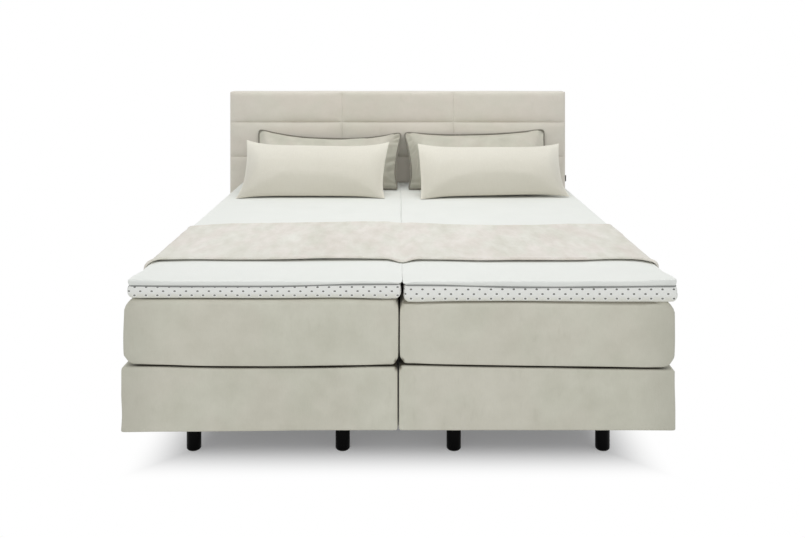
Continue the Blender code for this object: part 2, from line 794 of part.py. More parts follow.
def build_headboard():
    """The quilted cover, its front board, the wooden frame behind it and the back cloth."""
    column_edges = [
        HEADBOARD_WIDTH * (i / HEADBOARD_COLUMNS - 0.5) for i in range(HEADBOARD_COLUMNS + 1)
    ]
    lower_rows = HEADBOARD_ROWS - 1
    lower_height = HEADBOARD_HEIGHT - HEADBOARD_TOP_ROW
    row_edges = [lower_height * i / lower_rows for i in range(lower_rows + 1)]
    row_edges.append(HEADBOARD_HEIGHT)
    across = panel_lines(column_edges)
    upwards = panel_lines(row_edges)

    shape = bmesh.new()
    made = bmesh.ops.create_grid(
        shape, x_segments=len(across) - 1, y_segments=len(upwards) - 1, size=1.0
    )
    for vertex in made["verts"]:
        column = round((vertex.co.x + 1) / 2 * (len(across) - 1))
        row = round((vertex.co.y + 1) / 2 * (len(upwards) - 1))
        x, crown_across = across[column]
        z, crown_upwards = upwards[row]
        sunk = HEADBOARD_CROWN * (1 - crown_across * crown_upwards)
        vertex.co = (x, HEADBOARD_FRONT_Y + sunk, z)
    border = [edge for edge in shape.edges if edge.is_boundary]
    drawn = bmesh.ops.extrude_edge_only(shape, edges=border)
    back = [item for item in drawn["geom"] if isinstance(item, bmesh.types.BMVert)]
    for vertex in back:
        vertex.co.y = HEADBOARD_BACK_Y
    back_edges = [edge for edge in shape.edges if edge.is_boundary]
    bmesh.ops.holes_fill(shape, edges=back_edges, sides=0)
    cover = add_piece("headboard_cover", as_mesh(shape, "headboard_cover"), VELVET)

    half = HEADBOARD_WIDTH / 2 - HEADBOARD_WALL
    hollow_front = HEADBOARD_FRONT_Y + HEADBOARD_CROWN + HEADBOARD_PAD
    low = HEADBOARD_WALL
    high = HEADBOARD_HEIGHT - HEADBOARD_WALL
    cut_box(
        cover,
        "headboard_hollow",
        (-half, hollow_front, low),
        (half, HEADBOARD_BACK_Y + CUT_OVERRUN, high),
    )

    width = 2 * (half - CLEARANCE)
    height = high - low - 2 * CLEARANCE
    level = (low + high) / 2
    board_front = hollow_front + CLEARANCE
    block(
        "headboard_board",
        (width, HEADBOARD_BOARD_THICKNESS, height),
        (0, board_front + HEADBOARD_BOARD_THICKNESS / 2, level),
        WOOD,
    )
    frame_front = board_front + HEADBOARD_BOARD_THICKNESS + CLEARANCE
    frame_back = HEADBOARD_BACK_Y - BACK_CLOTH_THICKNESS - CLEARANCE
    frame = block(
        "headboard_frame",
        (width, frame_back - frame_front, height),
        (0, (frame_front + frame_back) / 2, level),
        WOOD,
    )
    window_width = (
        width - (HEADBOARD_FRAME_COLUMNS + 1) * HEADBOARD_STILE_WIDTH
    ) / HEADBOARD_FRAME_COLUMNS
    window_height = (
        height - (HEADBOARD_FRAME_ROWS + 1) * HEADBOARD_STILE_WIDTH
    ) / HEADBOARD_FRAME_ROWS
    for column in range(HEADBOARD_FRAME_COLUMNS):
        for row in range(HEADBOARD_FRAME_ROWS):
            x = -width / 2 + HEADBOARD_STILE_WIDTH
            x += column * (window_width + HEADBOARD_STILE_WIDTH)
            z = low + CLEARANCE + HEADBOARD_STILE_WIDTH
            z += row * (window_height + HEADBOARD_STILE_WIDTH)
            cut_box(
                frame,
                f"frame_window_{column}_{row}",
                (x, frame_front - CUT_OVERRUN, z),
                (x + window_width, frame_back + CUT_OVERRUN, z + window_height),
            )
    block(
        "headboard_back_cloth",
        (width, BACK_CLOTH_THICKNESS, height),
        (0, HEADBOARD_BACK_Y - BACK_CLOTH_THICKNESS / 2, level),
        DUST_CLOTH,
    )
    block(
        "side_tab",
        (TAB_REACH, TAB_THICKNESS, TAB_HEIGHT),
        (
            HEADBOARD_WIDTH / 2 + CLEARANCE + TAB_REACH / 2,
            HEADBOARD_FRONT_Y + TAB_DEPTH_FROM_FRONT,
            TAB_BOTTOM + TAB_HEIGHT / 2,
        ),
        DARK_TAB,
    )


def cushion_outline_point(u, v, width, height, side_draw, edge_draw):
    """A point of a cushion's plan for u across and v upwards, each from -1 to 1.

    The middles of the short sides and of the long edges are drawn in, and the corners are
    a little rounded.
    """
    corner = 1 - CUSHION_CORNER_SHARE * abs(u * v) ** CUSHION_CORNER_POWER
    x = u * corner * (width / 2 - side_draw * (1 - v * v))
    y = v * corner * (height / 2 - edge_draw * (1 - u * u))
    return x, y


def cushion_shape(width, height, thickness, side_draw, edge_draw):
    """A filled cushion lying flat: crowned on both faces, with a thin rim at its seam."""
    shape = block_shape((2, 2, 2))
    for count, axis in ((CUSHION_COLUMNS, 0), (CUSHION_ROWS, 1)):
        for number in range(1, count):
            place = Vector((0, 0, 0))
            place[axis] = -math.cos(math.pi * number / count)
            normal = Vector((0, 0, 0))
            normal[axis] = 1.0
            bmesh.ops.bisect_plane(
                shape,
                geom=shape.verts[:] + shape.edges[:] + shape.faces[:],
                plane_co=place,
                plane_no=normal,
            )
    for vertex in shape.verts:
        u, v, face = vertex.co
        x, y = cushion_outline_point(u, v, width, height, side_draw, edge_draw)
        fullness_u = max(0.0, 1 - abs(u) ** CUSHION_CROWN_POWER)
        fullness_v = max(0.0, 1 - abs(v) ** CUSHION_CROWN_POWER)
        swell = (thickness - CUSHION_RIM) / 2 * math.sqrt(fullness_u * fullness_v)
        z = math.copysign(CUSHION_RIM / 2 + swell, face)
        vertex.co = (x, y, z)
    return shape


def cushion_piping_points(width, height, side_draw, edge_draw, seat):
    """The seam's line round a cushion, moved out by the piping's seat."""
    us = [-math.cos(math.pi * i / CUSHION_COLUMNS) for i in range(CUSHION_COLUMNS + 1)]
    vs = [-math.cos(math.pi * i / CUSHION_ROWS) for i in range(CUSHION_ROWS + 1)]
    loop = [(u, -1.0) for u in us[:-1]]
    loop += [(1.0, v) for v in vs[:-1]]
    loop += [(-u, 1.0) for u in us[:-1]]
    loop += [(-1.0, -v) for v in vs[:-1]]
    line = [
        Vector(cushion_outline_point(u, v, width, height, side_draw, edge_draw)) for u, v in loop
    ]
    points = []
    for number, point in enumerate(line):
        before = (point - line[number - 1]).normalized()
        after = (line[(number + 1) % len(line)] - point).normalized()
        along = (before + after).normalized()
        outwards = Vector((along.y, -along.x))
        mitre = seat / max(along.dot(before), 0.5)
        x, y = point + outwards * mitre
        points.append(Vector((x, y, 0)))
    return points


def leaning(lean):
    """Stands a flat cushion up, its back towards the head, and tips it back by the lean."""
    return Matrix.Rotation(math.radians(90 - lean), 4, "X")


def extent(points, axis, pick):
    """The lowest or the highest of some points along one axis."""
    return pick(point[axis] for point in points)


def moved(points, offset):
    """Points moved by one offset."""
    return [point + offset for point in points]


def tree_of(points, faces):
    """A search tree for overlaps with a faceted surface."""
    return BVHTree.FromPolygons(points, faces)


def seat_against(points, faces, other):
    """How far towards the head a cushion travels before it meets another surface."""
    clear = -CUSHION_SEAT_SEARCH
    meeting = CUSHION_SEAT_SEARCH
    for _ in range(CUSHION_SEAT_STEPS):
        middle = (clear + meeting) / 2
        trial = tree_of(moved(points, Vector((0, middle, 0))), faces)
        if trial.overlap(other):
            meeting = middle
        else:
            clear = middle
    return clear - CLEARANCE


def build_cushions(side):
    """A piped cushion that leans on the headboard, and a plain one that leans on it."""
    rear_x = pair_centre(side, REAR_CUSHION_WIDTH, REAR_CUSHION_GAP, REAR_CUSHION_SHIFT)
    seat = REAR_PIPING_DIAMETER / 2 + CLEARANCE
    trim = 2 * (REAR_PIPING_DIAMETER + CLEARANCE)
    rear_size = (REAR_CUSHION_WIDTH - trim, REAR_CUSHION_HEIGHT - trim)
    rear_draws = (REAR_CUSHION_SIDE_DRAW, REAR_CUSHION_EDGE_DRAW)
    rear = cushion_shape(*rear_size, REAR_CUSHION_THICKNESS, *rear_draws)
    piping = cushion_piping_points(*rear_size, *rear_draws, seat)
    stand = leaning(REAR_CUSHION_LEAN)
    bmesh.ops.transform(rear, matrix=stand, verts=rear.verts)
    piping = [stand @ point for point in piping]
    body = [vertex.co.copy() for vertex in rear.verts]
    half_pipe = REAR_PIPING_DIAMETER / 2
    lowest = min(extent(body, 2, min), extent(piping, 2, min) - half_pipe)
    furthest = max(extent(body, 1, max), extent(piping, 1, max) + half_pipe)
    rear_place = Vector(
        (rear_x, HEADBOARD_FRONT_Y - CLEARANCE - furthest, TOPPER_TOP + CLEARANCE - lowest)
    )
    rear_faces = [[vertex.index for vertex in face.verts] for face in rear.faces]
    rear_tree = tree_of(moved(body, rear_place), rear_faces)
    rear_name = f"rear_cushion_{side}"
    add_piece(rear_name, as_mesh(rear, rear_name), VELVET, rear_place)
    tube(
        f"rear_cushion_piping_{side}",
        moved(piping, rear_place),
        REAR_PIPING_DIAMETER,
        GREY_PIPING,
        closed=True,
    )

    front_x = pair_centre(side, FRONT_CUSHION_WIDTH, FRONT_CUSHION_GAP, FRONT_CUSHION_SHIFT)
    front = cushion_shape(
        FRONT_CUSHION_WIDTH,
        FRONT_CUSHION_HEIGHT,
        FRONT_CUSHION_THICKNESS,
        FRONT_CUSHION_SIDE_DRAW,
        FRONT_CUSHION_EDGE_DRAW,
    )
    bmesh.ops.transform(front, matrix=leaning(FRONT_CUSHION_LEAN), verts=front.verts)
    body = [vertex.co.copy() for vertex in front.verts]
    front_place = Vector(
        (front_x, rear_place.y, TOPPER_TOP + CLEARANCE - extent(body, 2, min))
    )
    front_faces = [[vertex.index for vertex in face.verts] for face in front.faces]
    front_place.y += seat_against(moved(body, front_place), front_faces, rear_tree)
    front_name = f"front_cushion_{side}"
    add_piece(front_name, as_mesh(front, front_name), CREAM_CLOTH, front_place)


def runner_section():
    """The runner's underside across the bed: from hem to hem, over both toppers.

    Each entry is x, z and how far down its hanging side the point lies, from 0 to 1, signed
    by the side that it hangs on.
    """
    topper_xs = [pair_centre(side, TOPPER_WIDTH, TOPPER_GAP, TOPPER_SHIFT) for side in SIDES]
    mattress_xs = [
        pair_centre(side, MATTRESS_WIDTH, MATTRESS_GAP, MATTRESS_SHIFT) for side in SIDES
    ]
    left_edge = min(topper_xs[0] - TOPPER_WIDTH / 2, mattress_xs[0] - MATTRESS_WIDTH / 2)
    right_edge = max(topper_xs[1] + TOPPER_WIDTH / 2, mattress_xs[1] + MATTRESS_WIDTH / 2)
    left_edge -= CLEARANCE
    right_edge += CLEARANCE
    level = TOPPER_TOP + CLEARANCE
    shoulder_level = TOPPER_TOP - TOPPER_EDGE_RADIUS
    shoulder_rise = TOPPER_EDGE_RADIUS + CLEARANCE
    inset = TOPPER_COVER_WIDTH / 2 - TOPPER_EDGE_RADIUS

    def shoulder(centre_x, reach_x, direction):
        """A quarter round over a topper's edge, from its top outwards."""
        arc = []
        for step in range(BEVEL_SEGMENTS + 1):
            angle = math.pi / 2 * (1 - step / BEVEL_SEGMENTS)
            x = centre_x + direction * reach_x * math.cos(angle)
            z = shoulder_level + shoulder_rise * math.sin(angle)
            arc.append((x, z))
        return arc

    def hanging(x, direction):
        """Straight down from the shoulder to the hem."""
        points = []
        for step in range(1, RUNNER_HANG_STEPS + 1):
            share = step / RUNNER_HANG_STEPS
            points.append((x, shoulder_level - share * RUNNER_HANG, direction * share))
        return points

    outer_left = topper_xs[0] - inset
    outer_right = topper_xs[1] + inset
    inner_left = topper_xs[0] + inset
    inner_right = topper_xs[1] - inset
    left_arc = shoulder(outer_left, outer_left - left_edge, -1)
    right_arc = shoulder(outer_right, right_edge - outer_right, 1)
    reach = TOPPER_EDGE_RADIUS + CLEARANCE
    deepest = level - RUNNER_DIP
    valley = [point for point in shoulder(inner_left, reach, 1) if point[1] > deepest]
    valley.append(((inner_left + inner_right) / 2, deepest))
    rising = [point for point in shoulder(inner_right, reach, -1) if point[1] > deepest]
    valley += list(reversed(rising))

    section = list(reversed(hanging(left_edge, -1)))
    section += [(x, z, 0.0) for x, z in reversed(left_arc)]
    for step in range(1, RUNNER_TOP_STEPS):
        share = step / RUNNER_TOP_STEPS
        section.append((outer_left + (inner_left - outer_left) * share, level, 0.0))
    section += [(x, z, 0.0) for x, z in valley]
    for step in range(1, RUNNER_TOP_STEPS):
        share = step / RUNNER_TOP_STEPS
        section.append((inner_right + (outer_right - inner_right) * share, level, 0.0))
    section += [(x, z, 0.0) for x, z in right_arc]
    section += hanging(right_edge, 1)
    return section


def build_runner():
    """A cloth across both toppers, with soft folds in the sides that hang down."""
    section = runner_section()
    foot = FOOT_Y + RUNNER_FOOT_DISTANCE
    shape = bmesh.new()
    made = bmesh.ops.create_grid(
        shape, x_segments=len(section) - 1, y_segments=RUNNER_ROWS, size=1.0
    )
    for vertex in made["verts"]:
        column = round((vertex.co.x + 1) / 2 * (len(section) - 1))
        along = (vertex.co.y + 1) / 2
        x, z, hang = section[column]
        wave = (1 - math.cos(2 * math.pi * RUNNER_FOLDS * along)) / 2
        x += hang * wave * RUNNER_FOLD_DEPTH
        vertex.co = (x, foot + along * RUNNER_WIDTH, z)
    runner = add_piece("runner", as_mesh(shape, "runner"), RUNNER_CLOTH)
    cloth = runner.modifiers.new("cloth", "SOLIDIFY")
    cloth.thickness = RUNNER_THICKNESS
    cloth.offset = 1.0
    cloth.use_even_offset = True


for old in list(bpy.data.objects):
    bpy.data.objects.remove(old)

PIECES = collection("box_spring_bed")
CUTTERS = collection("cutters")

VELVET = material("greige velvet", (0.52, 0.50, 0.43), 0.85)
KNIT = material("white knit", (0.83, 0.84, 0.80), 0.80)
CREAM_CLOTH = material("cream cloth", (0.76, 0.73, 0.65), 0.85)
RUNNER_CLOTH = material("pale mottled velvet", (0.74, 0.71, 0.66), 0.80)
GREY_PIPING = material("grey piping", (0.20, 0.19, 0.18), 0.75)
DARK_TAB = material("dark woven tab", (0.05, 0.05, 0.05), 0.70)
BLACK_LACQUER = material("black lacquer", (0.012, 0.012, 0.012), 0.35)
WOOD = material("planed pine", (0.60, 0.43, 0.26), 0.60)
FOAM = material("cream foam", (0.80, 0.74, 0.52), 0.90)
POCKET_CLOTH = material("white pocket cloth", (0.78, 0.78, 0.76), 0.90)
DUST_CLOTH = material("black dust cloth", (0.03, 0.03, 0.03), 0.90)
STEEL = material("galvanised steel", (0.55, 0.55, 0.56), 0.40, 1.0)
SPRING_STEEL = material("spring steel", (0.40, 0.40, 0.42), 0.35, 1.0)

for bed_side in SIDES:
    build_box(bed_side)
    build_legs(bed_side)
    build_mattress(bed_side)
    build_topper(bed_side)
    build_head_bracket(bed_side)
    build_cushions(bed_side)
build_link_brackets()
build_headboard()
build_runner()
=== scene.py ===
# %% [markdown]
# # A double box spring bed, dressed in Blender
#
# The bed's hard facts, its sizes and the places of its pieces, come from a CAD model that
# is loaded as a fixed frame. This lesson puts soft, finished pieces in the places of the
# plain solids: velvet covers, a quilted headboard, knitted toppers, cushions and a runner.
# Every length is in metres, X runs across the bed, Y from its foot to its head, Z up.

# %% Load the frame
import math

import bmesh
import bpy
import numpy as np
from mathutils import Matrix, Vector
from mathutils.bvhtree import BVHTree


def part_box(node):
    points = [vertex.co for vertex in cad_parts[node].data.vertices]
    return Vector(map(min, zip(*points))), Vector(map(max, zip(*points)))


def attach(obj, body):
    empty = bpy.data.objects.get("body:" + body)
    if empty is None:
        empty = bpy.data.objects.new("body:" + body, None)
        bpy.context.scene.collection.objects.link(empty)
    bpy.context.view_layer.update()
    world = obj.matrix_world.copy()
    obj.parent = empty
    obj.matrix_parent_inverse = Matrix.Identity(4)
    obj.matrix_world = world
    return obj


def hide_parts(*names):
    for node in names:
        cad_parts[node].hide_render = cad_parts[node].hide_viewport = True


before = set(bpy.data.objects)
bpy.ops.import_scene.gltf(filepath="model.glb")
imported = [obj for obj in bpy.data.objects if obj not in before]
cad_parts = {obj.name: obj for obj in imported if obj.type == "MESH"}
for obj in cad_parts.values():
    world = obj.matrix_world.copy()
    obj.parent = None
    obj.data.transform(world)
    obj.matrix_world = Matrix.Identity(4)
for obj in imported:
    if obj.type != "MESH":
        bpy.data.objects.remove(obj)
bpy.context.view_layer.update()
SIDES = {"left": -1, "right": 1}

# %% [markdown]
# ## The camera
#
# The photograph was taken from the foot end at eye height with the lens held level, so
# upright edges stay upright. Tilting the camera would make them lean. A level camera that
# looks along Y with its frame shifted down keeps them parallel, as a view camera does.

# %% Place the camera
EYE_HEIGHT = 1.40
EYE_DISTANCE = 2.865
SENSOR = 36.0
LENS = 39.44
FRAME_SHIFT = (0.0053, -0.277)
FOOT_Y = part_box("box_cover_left")[0].y


def placed(name, data):
    """A new object in the scene."""
    made = bpy.data.objects.new(name, data)
    bpy.context.scene.collection.objects.link(made)
    return made


eye = placed("eye", bpy.data.cameras.new("eye"))
eye.location = (0.0, FOOT_Y - EYE_DISTANCE, EYE_HEIGHT)
eye.rotation_euler = (math.radians(90), 0.0, 0.0)
eye.data.sensor_width = SENSOR
eye.data.lens = LENS
eye.data.shift_x, eye.data.shift_y = FRAME_SHIFT
bpy.context.scene.camera = eye
bpy.context.scene.view_settings.view_transform = "Standard"
print("eye at", [round(v, 3) for v in eye.location])

# %% [markdown]
# ## Sums on sockets
#
# A finish is a net of nodes. Drawing it node by node hides the sum that it does, so one
# small class wraps a socket: +, -, * and / on it add the Math nodes, and `node` adds any
# other kind, with its settings first and then what goes into its sockets.

# %% A socket that can be used in sums
class Thread:
    """One output socket of a finish, on which arithmetic adds Math nodes."""

    def __init__(self, tree, socket=None):
        self.tree = tree
        self.socket = socket

    def node(self, kind, settings=None, inputs=None, output=0):
        """Adds a node: its settings are set first, then its sockets' values and links."""
        made = self.tree.nodes.new("ShaderNode" + kind)
        for name, value in (settings or {}).items():
            setattr(made, name, value)
        for name, value in (inputs or {}).items():
            if isinstance(value, Thread):
                self.tree.links.new(value.socket, made.inputs[name])
            else:
                made.inputs[name].default_value = value
        return Thread(self.tree, made.outputs[output] if made.outputs else None)

    def math(self, operation, *others):
        """A sum that starts with this socket."""
        return self.node("Math", {"operation": operation}, dict(enumerate((self, *others))))

    def __add__(self, other):
        return self.math("ADD", other)

    def __sub__(self, other):
        return self.math("SUBTRACT", other)

    def __rsub__(self, other):
        return self.node("Math", {"operation": "SUBTRACT"}, {0: other, 1: self})

    def __mul__(self, other):
        return self.math("MULTIPLY", other)

    def __truediv__(self, other):
        return self.math("DIVIDE", other)

    __radd__ = __add__
    __rmul__ = __mul__


# %% Patterns that the finishes share
def srgb(red, green, blue):
    """A colour written as it looks on a screen, 0 to 255, as the shader's own numbers."""
    shares = [value / 255 for value in (red, green, blue)]
    linear = [s / 12.92 if s <= 0.04045 else ((s + 0.055) / 1.055) ** 2.4 for s in shares]
    return (*linear, 1.0)


def clouds(place, scale, detail=2.0, roughness=0.5):
    """Soft noise from about 0 to 1. The scale is one number, or three to stretch it."""
    if np.ndim(scale):
        place = place.node("VectorMath", {"operation": "MULTIPLY"}, {0: place, 1: scale})
        scale = 1.0
    inputs = {"Vector": place, "Scale": scale, "Detail": detail, "Roughness": roughness}
    return place.node("TexNoise", None, inputs)


def cells(place, scale):
    """Distance to scattered points, for pores and flecks."""
    return place.node("TexVoronoi", None, {"Vector": place, "Scale": scale})


def step_between(value, low, high):
    """0 below low, 1 above high and a soft rise between them."""
    inputs = {"Value": value, "From Min": low, "From Max": high}
    return value.node("MapRange", {"interpolation_type": "SMOOTHSTEP"}, inputs)


def ribs(value, length):
    """A wave from -1 to 1 that repeats after each length."""
    return (value * (2 * math.pi / length)).math("SINE")


def mixed(factor, *colours):
    """The first colour where the factor is 0 and the second where it is 1."""
    first, second = [c if isinstance(c, Thread) else srgb(*c) for c in colours]
    inputs = {0: factor, 6: first, 7: second}
    return factor.node("Mix", {"data_type": "RGBA"}, inputs, output=2)


def measure(place, name, output="Fac"):
    """A value that the points of the mesh carry."""
    return place.node("Attribute", {"attribute_name": name}, output=output)


def parts_of(place):
    """The x, y and z of a place."""
    split = place.tree.nodes.new("ShaderNodeSeparateXYZ")
    place.tree.links.new(place.socket, split.inputs[0])
    return [Thread(place.tree, output) for output in split.outputs]


# %% Start a finish, and close it
def start_finish(name, constants):
    """A material with its constant settings, and the place on the piece as it was made."""
    look = bpy.data.materials.new(name)
    look.use_nodes = True
    shader = look.node_tree.nodes["Principled BSDF"]
    for socket, value in constants.items():
        shader.inputs[socket].default_value = value
    return look, Thread(look.node_tree).node("TexCoord", output="Object")


def close_finish(look, colour, height, distance, roughness=None):
    """Feeds the colour, the raised pattern and the roughness to the shader."""
    tree = look.node_tree
    bump = height.node("Bump", None, {"Height": height, "Distance": distance, "Strength": 1.0})
    fed = {"Base Color": colour, "Normal": bump, "Roughness": roughness}
    for socket, value in fed.items():
        if value is not None:
            tree.links.new(value.socket, tree.nodes["Principled BSDF"].inputs[socket])
    print("finish:", look.name, len(tree.nodes), "nodes")
    return look


# %% [markdown]
# ## Floor, backdrop and light
#
# The bed stands on white with a soft grey shadow under it. More light would bleach the bed,
# so the white is only what the eye sees: the floor adds a little glow for camera rays, and
# turns to plain white further out. Lamps and sky light the bed at a plain level.

# %% Lay the floor and hang the lamps
FLOOR_REACH = 40.0
FLOOR_GLOW = 0.20
SHADOW_HALF = (0.90, 1.11)
SHADOW_REACH = (-0.25, 0.02)
SKY_STRENGTH = 0.72
SKY_COLOUR = (0.97, 0.985, 1, 1)
FLOOR_COLOUR = (0.80, 0.80, 0.80, 1)
WHITE = (1, 1, 1, 1)
SEEN_RAYS = ("Is Camera Ray", "Is Glossy Ray", "Is Transmission Ray")


def bare_tree(owner):
    """The nodes of a material or world, emptied."""
    owner.use_nodes = True
    owner.node_tree.nodes.clear()
    return Thread(owner.node_tree)


def seen_rays(start):
    """1 for the rays that show the background, 0 for those that carry light."""
    path = start.tree.nodes.new("ShaderNodeLightPath")
    camera, glossy, through = [Thread(start.tree, path.outputs[name]) for name in SEEN_RAYS]
    return (camera + glossy + through).math("MINIMUM", 1.0)


def lay_floor():
    """A wide pale sheet under the bed that keeps its shadow."""
    mesh = bpy.data.meshes.new("floor")
    r = FLOOR_REACH
    mesh.from_pydata([(-r, -r, 0), (r, -r, 0), (r, r, 0), (-r, r, 0)], [], [(0, 1, 2, 3)])
    look = bpy.data.materials.new("white floor")
    mesh.materials.append(look)
    start = bare_tree(look)
    x, y, _ = parts_of(start.node("TexCoord", output="Object"))
    beside, beyond = [v.math("ABSOLUTE") - half for v, half in zip((x, y), SHADOW_HALF)]
    seen = seen_rays(start)
    matt = start.node("BsdfDiffuse", None, {"Color": FLOOR_COLOUR})
    glow = start.node("Emission", None, {"Color": WHITE, "Strength": seen * FLOOR_GLOW})
    lit = start.node("AddShader", None, {0: matt, 1: glow})
    white = start.node("Emission", None, {"Color": WHITE, "Strength": 1.0})
    far = step_between(beside.math("MAXIMUM", beyond), *SHADOW_REACH) * seen
    surface = start.node("MixShader", None, {0: far, 1: lit, 2: white})
    start.node("OutputMaterial", None, {"Surface": surface})
    placed("floor", mesh)


def light_sky():
    """White to the eye, and a plain even light on the bed."""
    world = bpy.data.worlds.new("white room")
    bpy.context.scene.world = world
    start = bare_tree(world)
    shown = start.node("Background", None, {"Color": WHITE, "Strength": 1.0})
    soft = start.node("Background", None, {"Color": SKY_COLOUR, "Strength": SKY_STRENGTH})
    both = start.node("MixShader", None, {0: seen_rays(start), 1: soft, 2: shown})
    start.node("OutputWorld", None, {"Surface": both})


def hang_lamp(name, place, target, size, power):
    """A square lamp of soft light that faces its target."""
    lamp = bpy.data.lights.new(name, "AREA")
    lamp.shape = "RECTANGLE"
    lamp.size, lamp.size_y = size
    lamp.energy = power
    held = placed(name, lamp)
    held.location = place
    held.rotation_euler = (Vector(target) - Vector(place)).to_track_quat("-Z", "Y").to_euler()
    print("lamp", name, power, "W")


lay_floor()
light_sky()
hang_lamp("overhead", (0.0, -0.1, 3.1), (0.0, 0.1, 0.4), (3.0, 1.8), 26)
hang_lamp("front", (0.0, -3.4, 1.9), (0.0, -0.4, 0.4), (1.6, 1.0), 8.6)

# %% [markdown]
# ## Velvet
#
# The boxes, mattresses, headboard and rear cushions wear one greige velvet. Its pile leans
# this way and that, so broad patches differ a little in shade and in warmth, a few short
# marks run down where a hand has passed, and a fine nap scatters light at grazing angles.

# %% Greige velvet
# Painted shade: how much darker than its dark colour the velvet is painted at cushion ends and outer
# foot corners, and the near-black colour painted into the slots and gaps between the covers.
PAINTED_SHADE_FACTOR = 0.89
PAINTED_SHADE_COLOUR = (92, 84, 66)


def warmer(colour, amount):
    """The same colour a little pinker."""
    red, green, blue = colour
    return red + amount, green - amount * 0.4, blue + amount * 0.3


def make_velvet(name, dark, light, patch, contrast, blush, sheen):
    """A velvet: patches of shade and warmth, short marks down the pile and a fine nap."""
    constants = {"Sheen Weight": sheen, "Sheen Roughness": 0.45, "Specular IOR Level": 0.15}
    look, place = start_finish(name, constants)
    patch = np.array(patch)
    broad = clouds(place, patch)
    blots = clouds(place, patch * 3.7, 3.0, 0.6)
    nap = clouds(place, 620, 2.0, 0.7)
    brushed = clouds(place, (260, 260, 60), 1.0)
    marks = step_between(clouds(place, (44, 44, 17)), 0.54, 0.74)
    marks = marks * step_between(clouds(place, 3.4, 1.0), 0.48, 0.60)
    shade = 0.5 + (broad - 0.5) * contrast + (blots - 0.5) * (contrast * 1.2) - marks * 0.20
    shade = shade + (nap - 0.5) * 0.35 + (brushed - 0.5) * 0.20
    warmth = step_between(clouds(place, patch * 1.6), 0.38, 0.62)
    pinker = mixed(shade, warmer(dark, blush), warmer(light, blush))
    colour = mixed(warmth, mixed(shade, dark, light), pinker)
    # Painted shade from two measures on the mesh: darker at cushion ends and outer foot corners,
    # near black in the slots and gaps between covers.
    colour = mixed(measure(place, "painted_shade"), colour, [value * PAINTED_SHADE_FACTOR for value in dark])
    colour = mixed(measure(place, "fold"), colour, PAINTED_SHADE_COLOUR)
    rough = 0.82 + (broad - 0.5) * 0.20
    return close_finish(look, colour, nap * 0.6 + brushed * 0.4, 0.0007, rough)


# The headboard's and rear cushions' velvets are copies of the one greige velvet. They differ a
# little in tint, and are painted lighter for the headboard and darker for the rear cushions: painted
# light and shade.
velvet, headboard_velvet, cushion_velvet, runner_velvet = [
    make_velvet(*fact) for fact in (
        ("greige velvet", (203, 201, 184), (225, 223, 208), (3.2, 3.2, 3.2), 0.8, 1.0, 0.15),
        ("headboard velvet", (212, 208, 194), (228, 223, 212), (3.0, 3.0, 4.2), 0.7, 1.4, 0.15),
        ("cushion velvet", (192, 190, 175), (212, 210, 196), (4.0, 4.0, 4.0), 0.9, 2.0, 0.12),
        ("runner velvet", (211, 208, 195), (232, 230, 221), (7.0, 2.6, 7.0), 1.3, 2.6, 0.2),
    )
]

# %% [markdown]
# ## Knit, piping and cream cloth
#
# The toppers are a white knit with a mesh border in which small grey eyelets stand in
# staggered rows. The border's pattern follows the edge of the topper and not the room, so
# the mesh carries a "border" measure: metres along the edge, metres up, and 1 on the border.

# %% White knit with its eyelet border
EYELET_PITCH = 0.0372
EYELET_ROW = 0.0150
EYELET_HALF = (0.0042, 0.0030)
KNIT_LOOP = 0.0028
BORDER_LOOP = (0.0042, 0.0036)


def make_knit():
    """Fine ribs of loops on top, and rows of eyelets on the border."""
    look, place = start_finish(
        "white knit", {"Sheen Weight": 0.10, "Specular IOR Level": 0.2, "Roughness": 0.85}
    )
    along, up, on_border = parts_of(measure(place, "border", "Vector"))
    row = (up / EYELET_ROW).math("FLOOR")
    shift = (row * 0.5).math("FRACT")
    across = ((along / EYELET_PITCH + shift).math("FRACT") - 0.5) * EYELET_PITCH
    above = (up / EYELET_ROW - row - 0.5) * EYELET_ROW
    reach = across * across / EYELET_HALF[0] ** 2 + above * above / EYELET_HALF[1] ** 2
    eyelet = (1 - step_between(reach, 0.55, 1.25)) * on_border
    halo = (1 - step_between(reach, 1.6, 4.5)) * on_border
    x, y, _ = parts_of(place)
    top_knit = ribs(x, KNIT_LOOP) * ribs(y, KNIT_LOOP) * 0.5 + 0.5
    side_knit = ribs(along, BORDER_LOOP[0]) * ribs(up, BORDER_LOOP[1]) * 0.5 + 0.5
    loops = top_knit * (1 - on_border) + side_knit * on_border
    shade = 0.55 + (clouds(place, 7.0, 3.0) - 0.5) * 0.5 + (loops - 0.5) * 0.35
    # Painted shade: the border darkens towards its lower edge, where it rounds under.
    low_down = (1 - step_between(up, 0.002, 0.020)) * on_border
    side_colour = mixed(shade, (239, 239, 232), (252, 252, 248))
    side_colour = mixed(low_down * 0.5, side_colour, (216, 214, 196))
    cloth = mixed(on_border, mixed(shade, (233, 235, 229), (245, 246, 241)), side_colour)
    cloth = mixed(halo * 0.75, cloth, (254, 254, 251))
    colour = mixed(eyelet, cloth, (134, 134, 127))
    return close_finish(look, colour, loops * 0.5 - eyelet * 1.6 - halo * 0.3, 0.0009)


knit = make_knit()


# %% Corded piping
def make_piping(name, dark, light):
    """A narrow bias strip over a cord: a twill that winds round it."""
    look, place = start_finish(name, {"Roughness": 0.8, "Sheen Weight": 0.1})
    twill = clouds(place, 900, 1.0)
    colour = mixed(twill * 0.6 + clouds(place, 60) * 0.4, dark, light)
    return close_finish(look, colour, twill, 0.0005)


topper_piping = make_piping("topper piping", (126, 127, 125), (160, 161, 158))
cushion_piping = make_piping("cushion piping", (112, 109, 99), (146, 142, 130))


# %% Cream cloth
YARN = 2 * math.pi / 3300


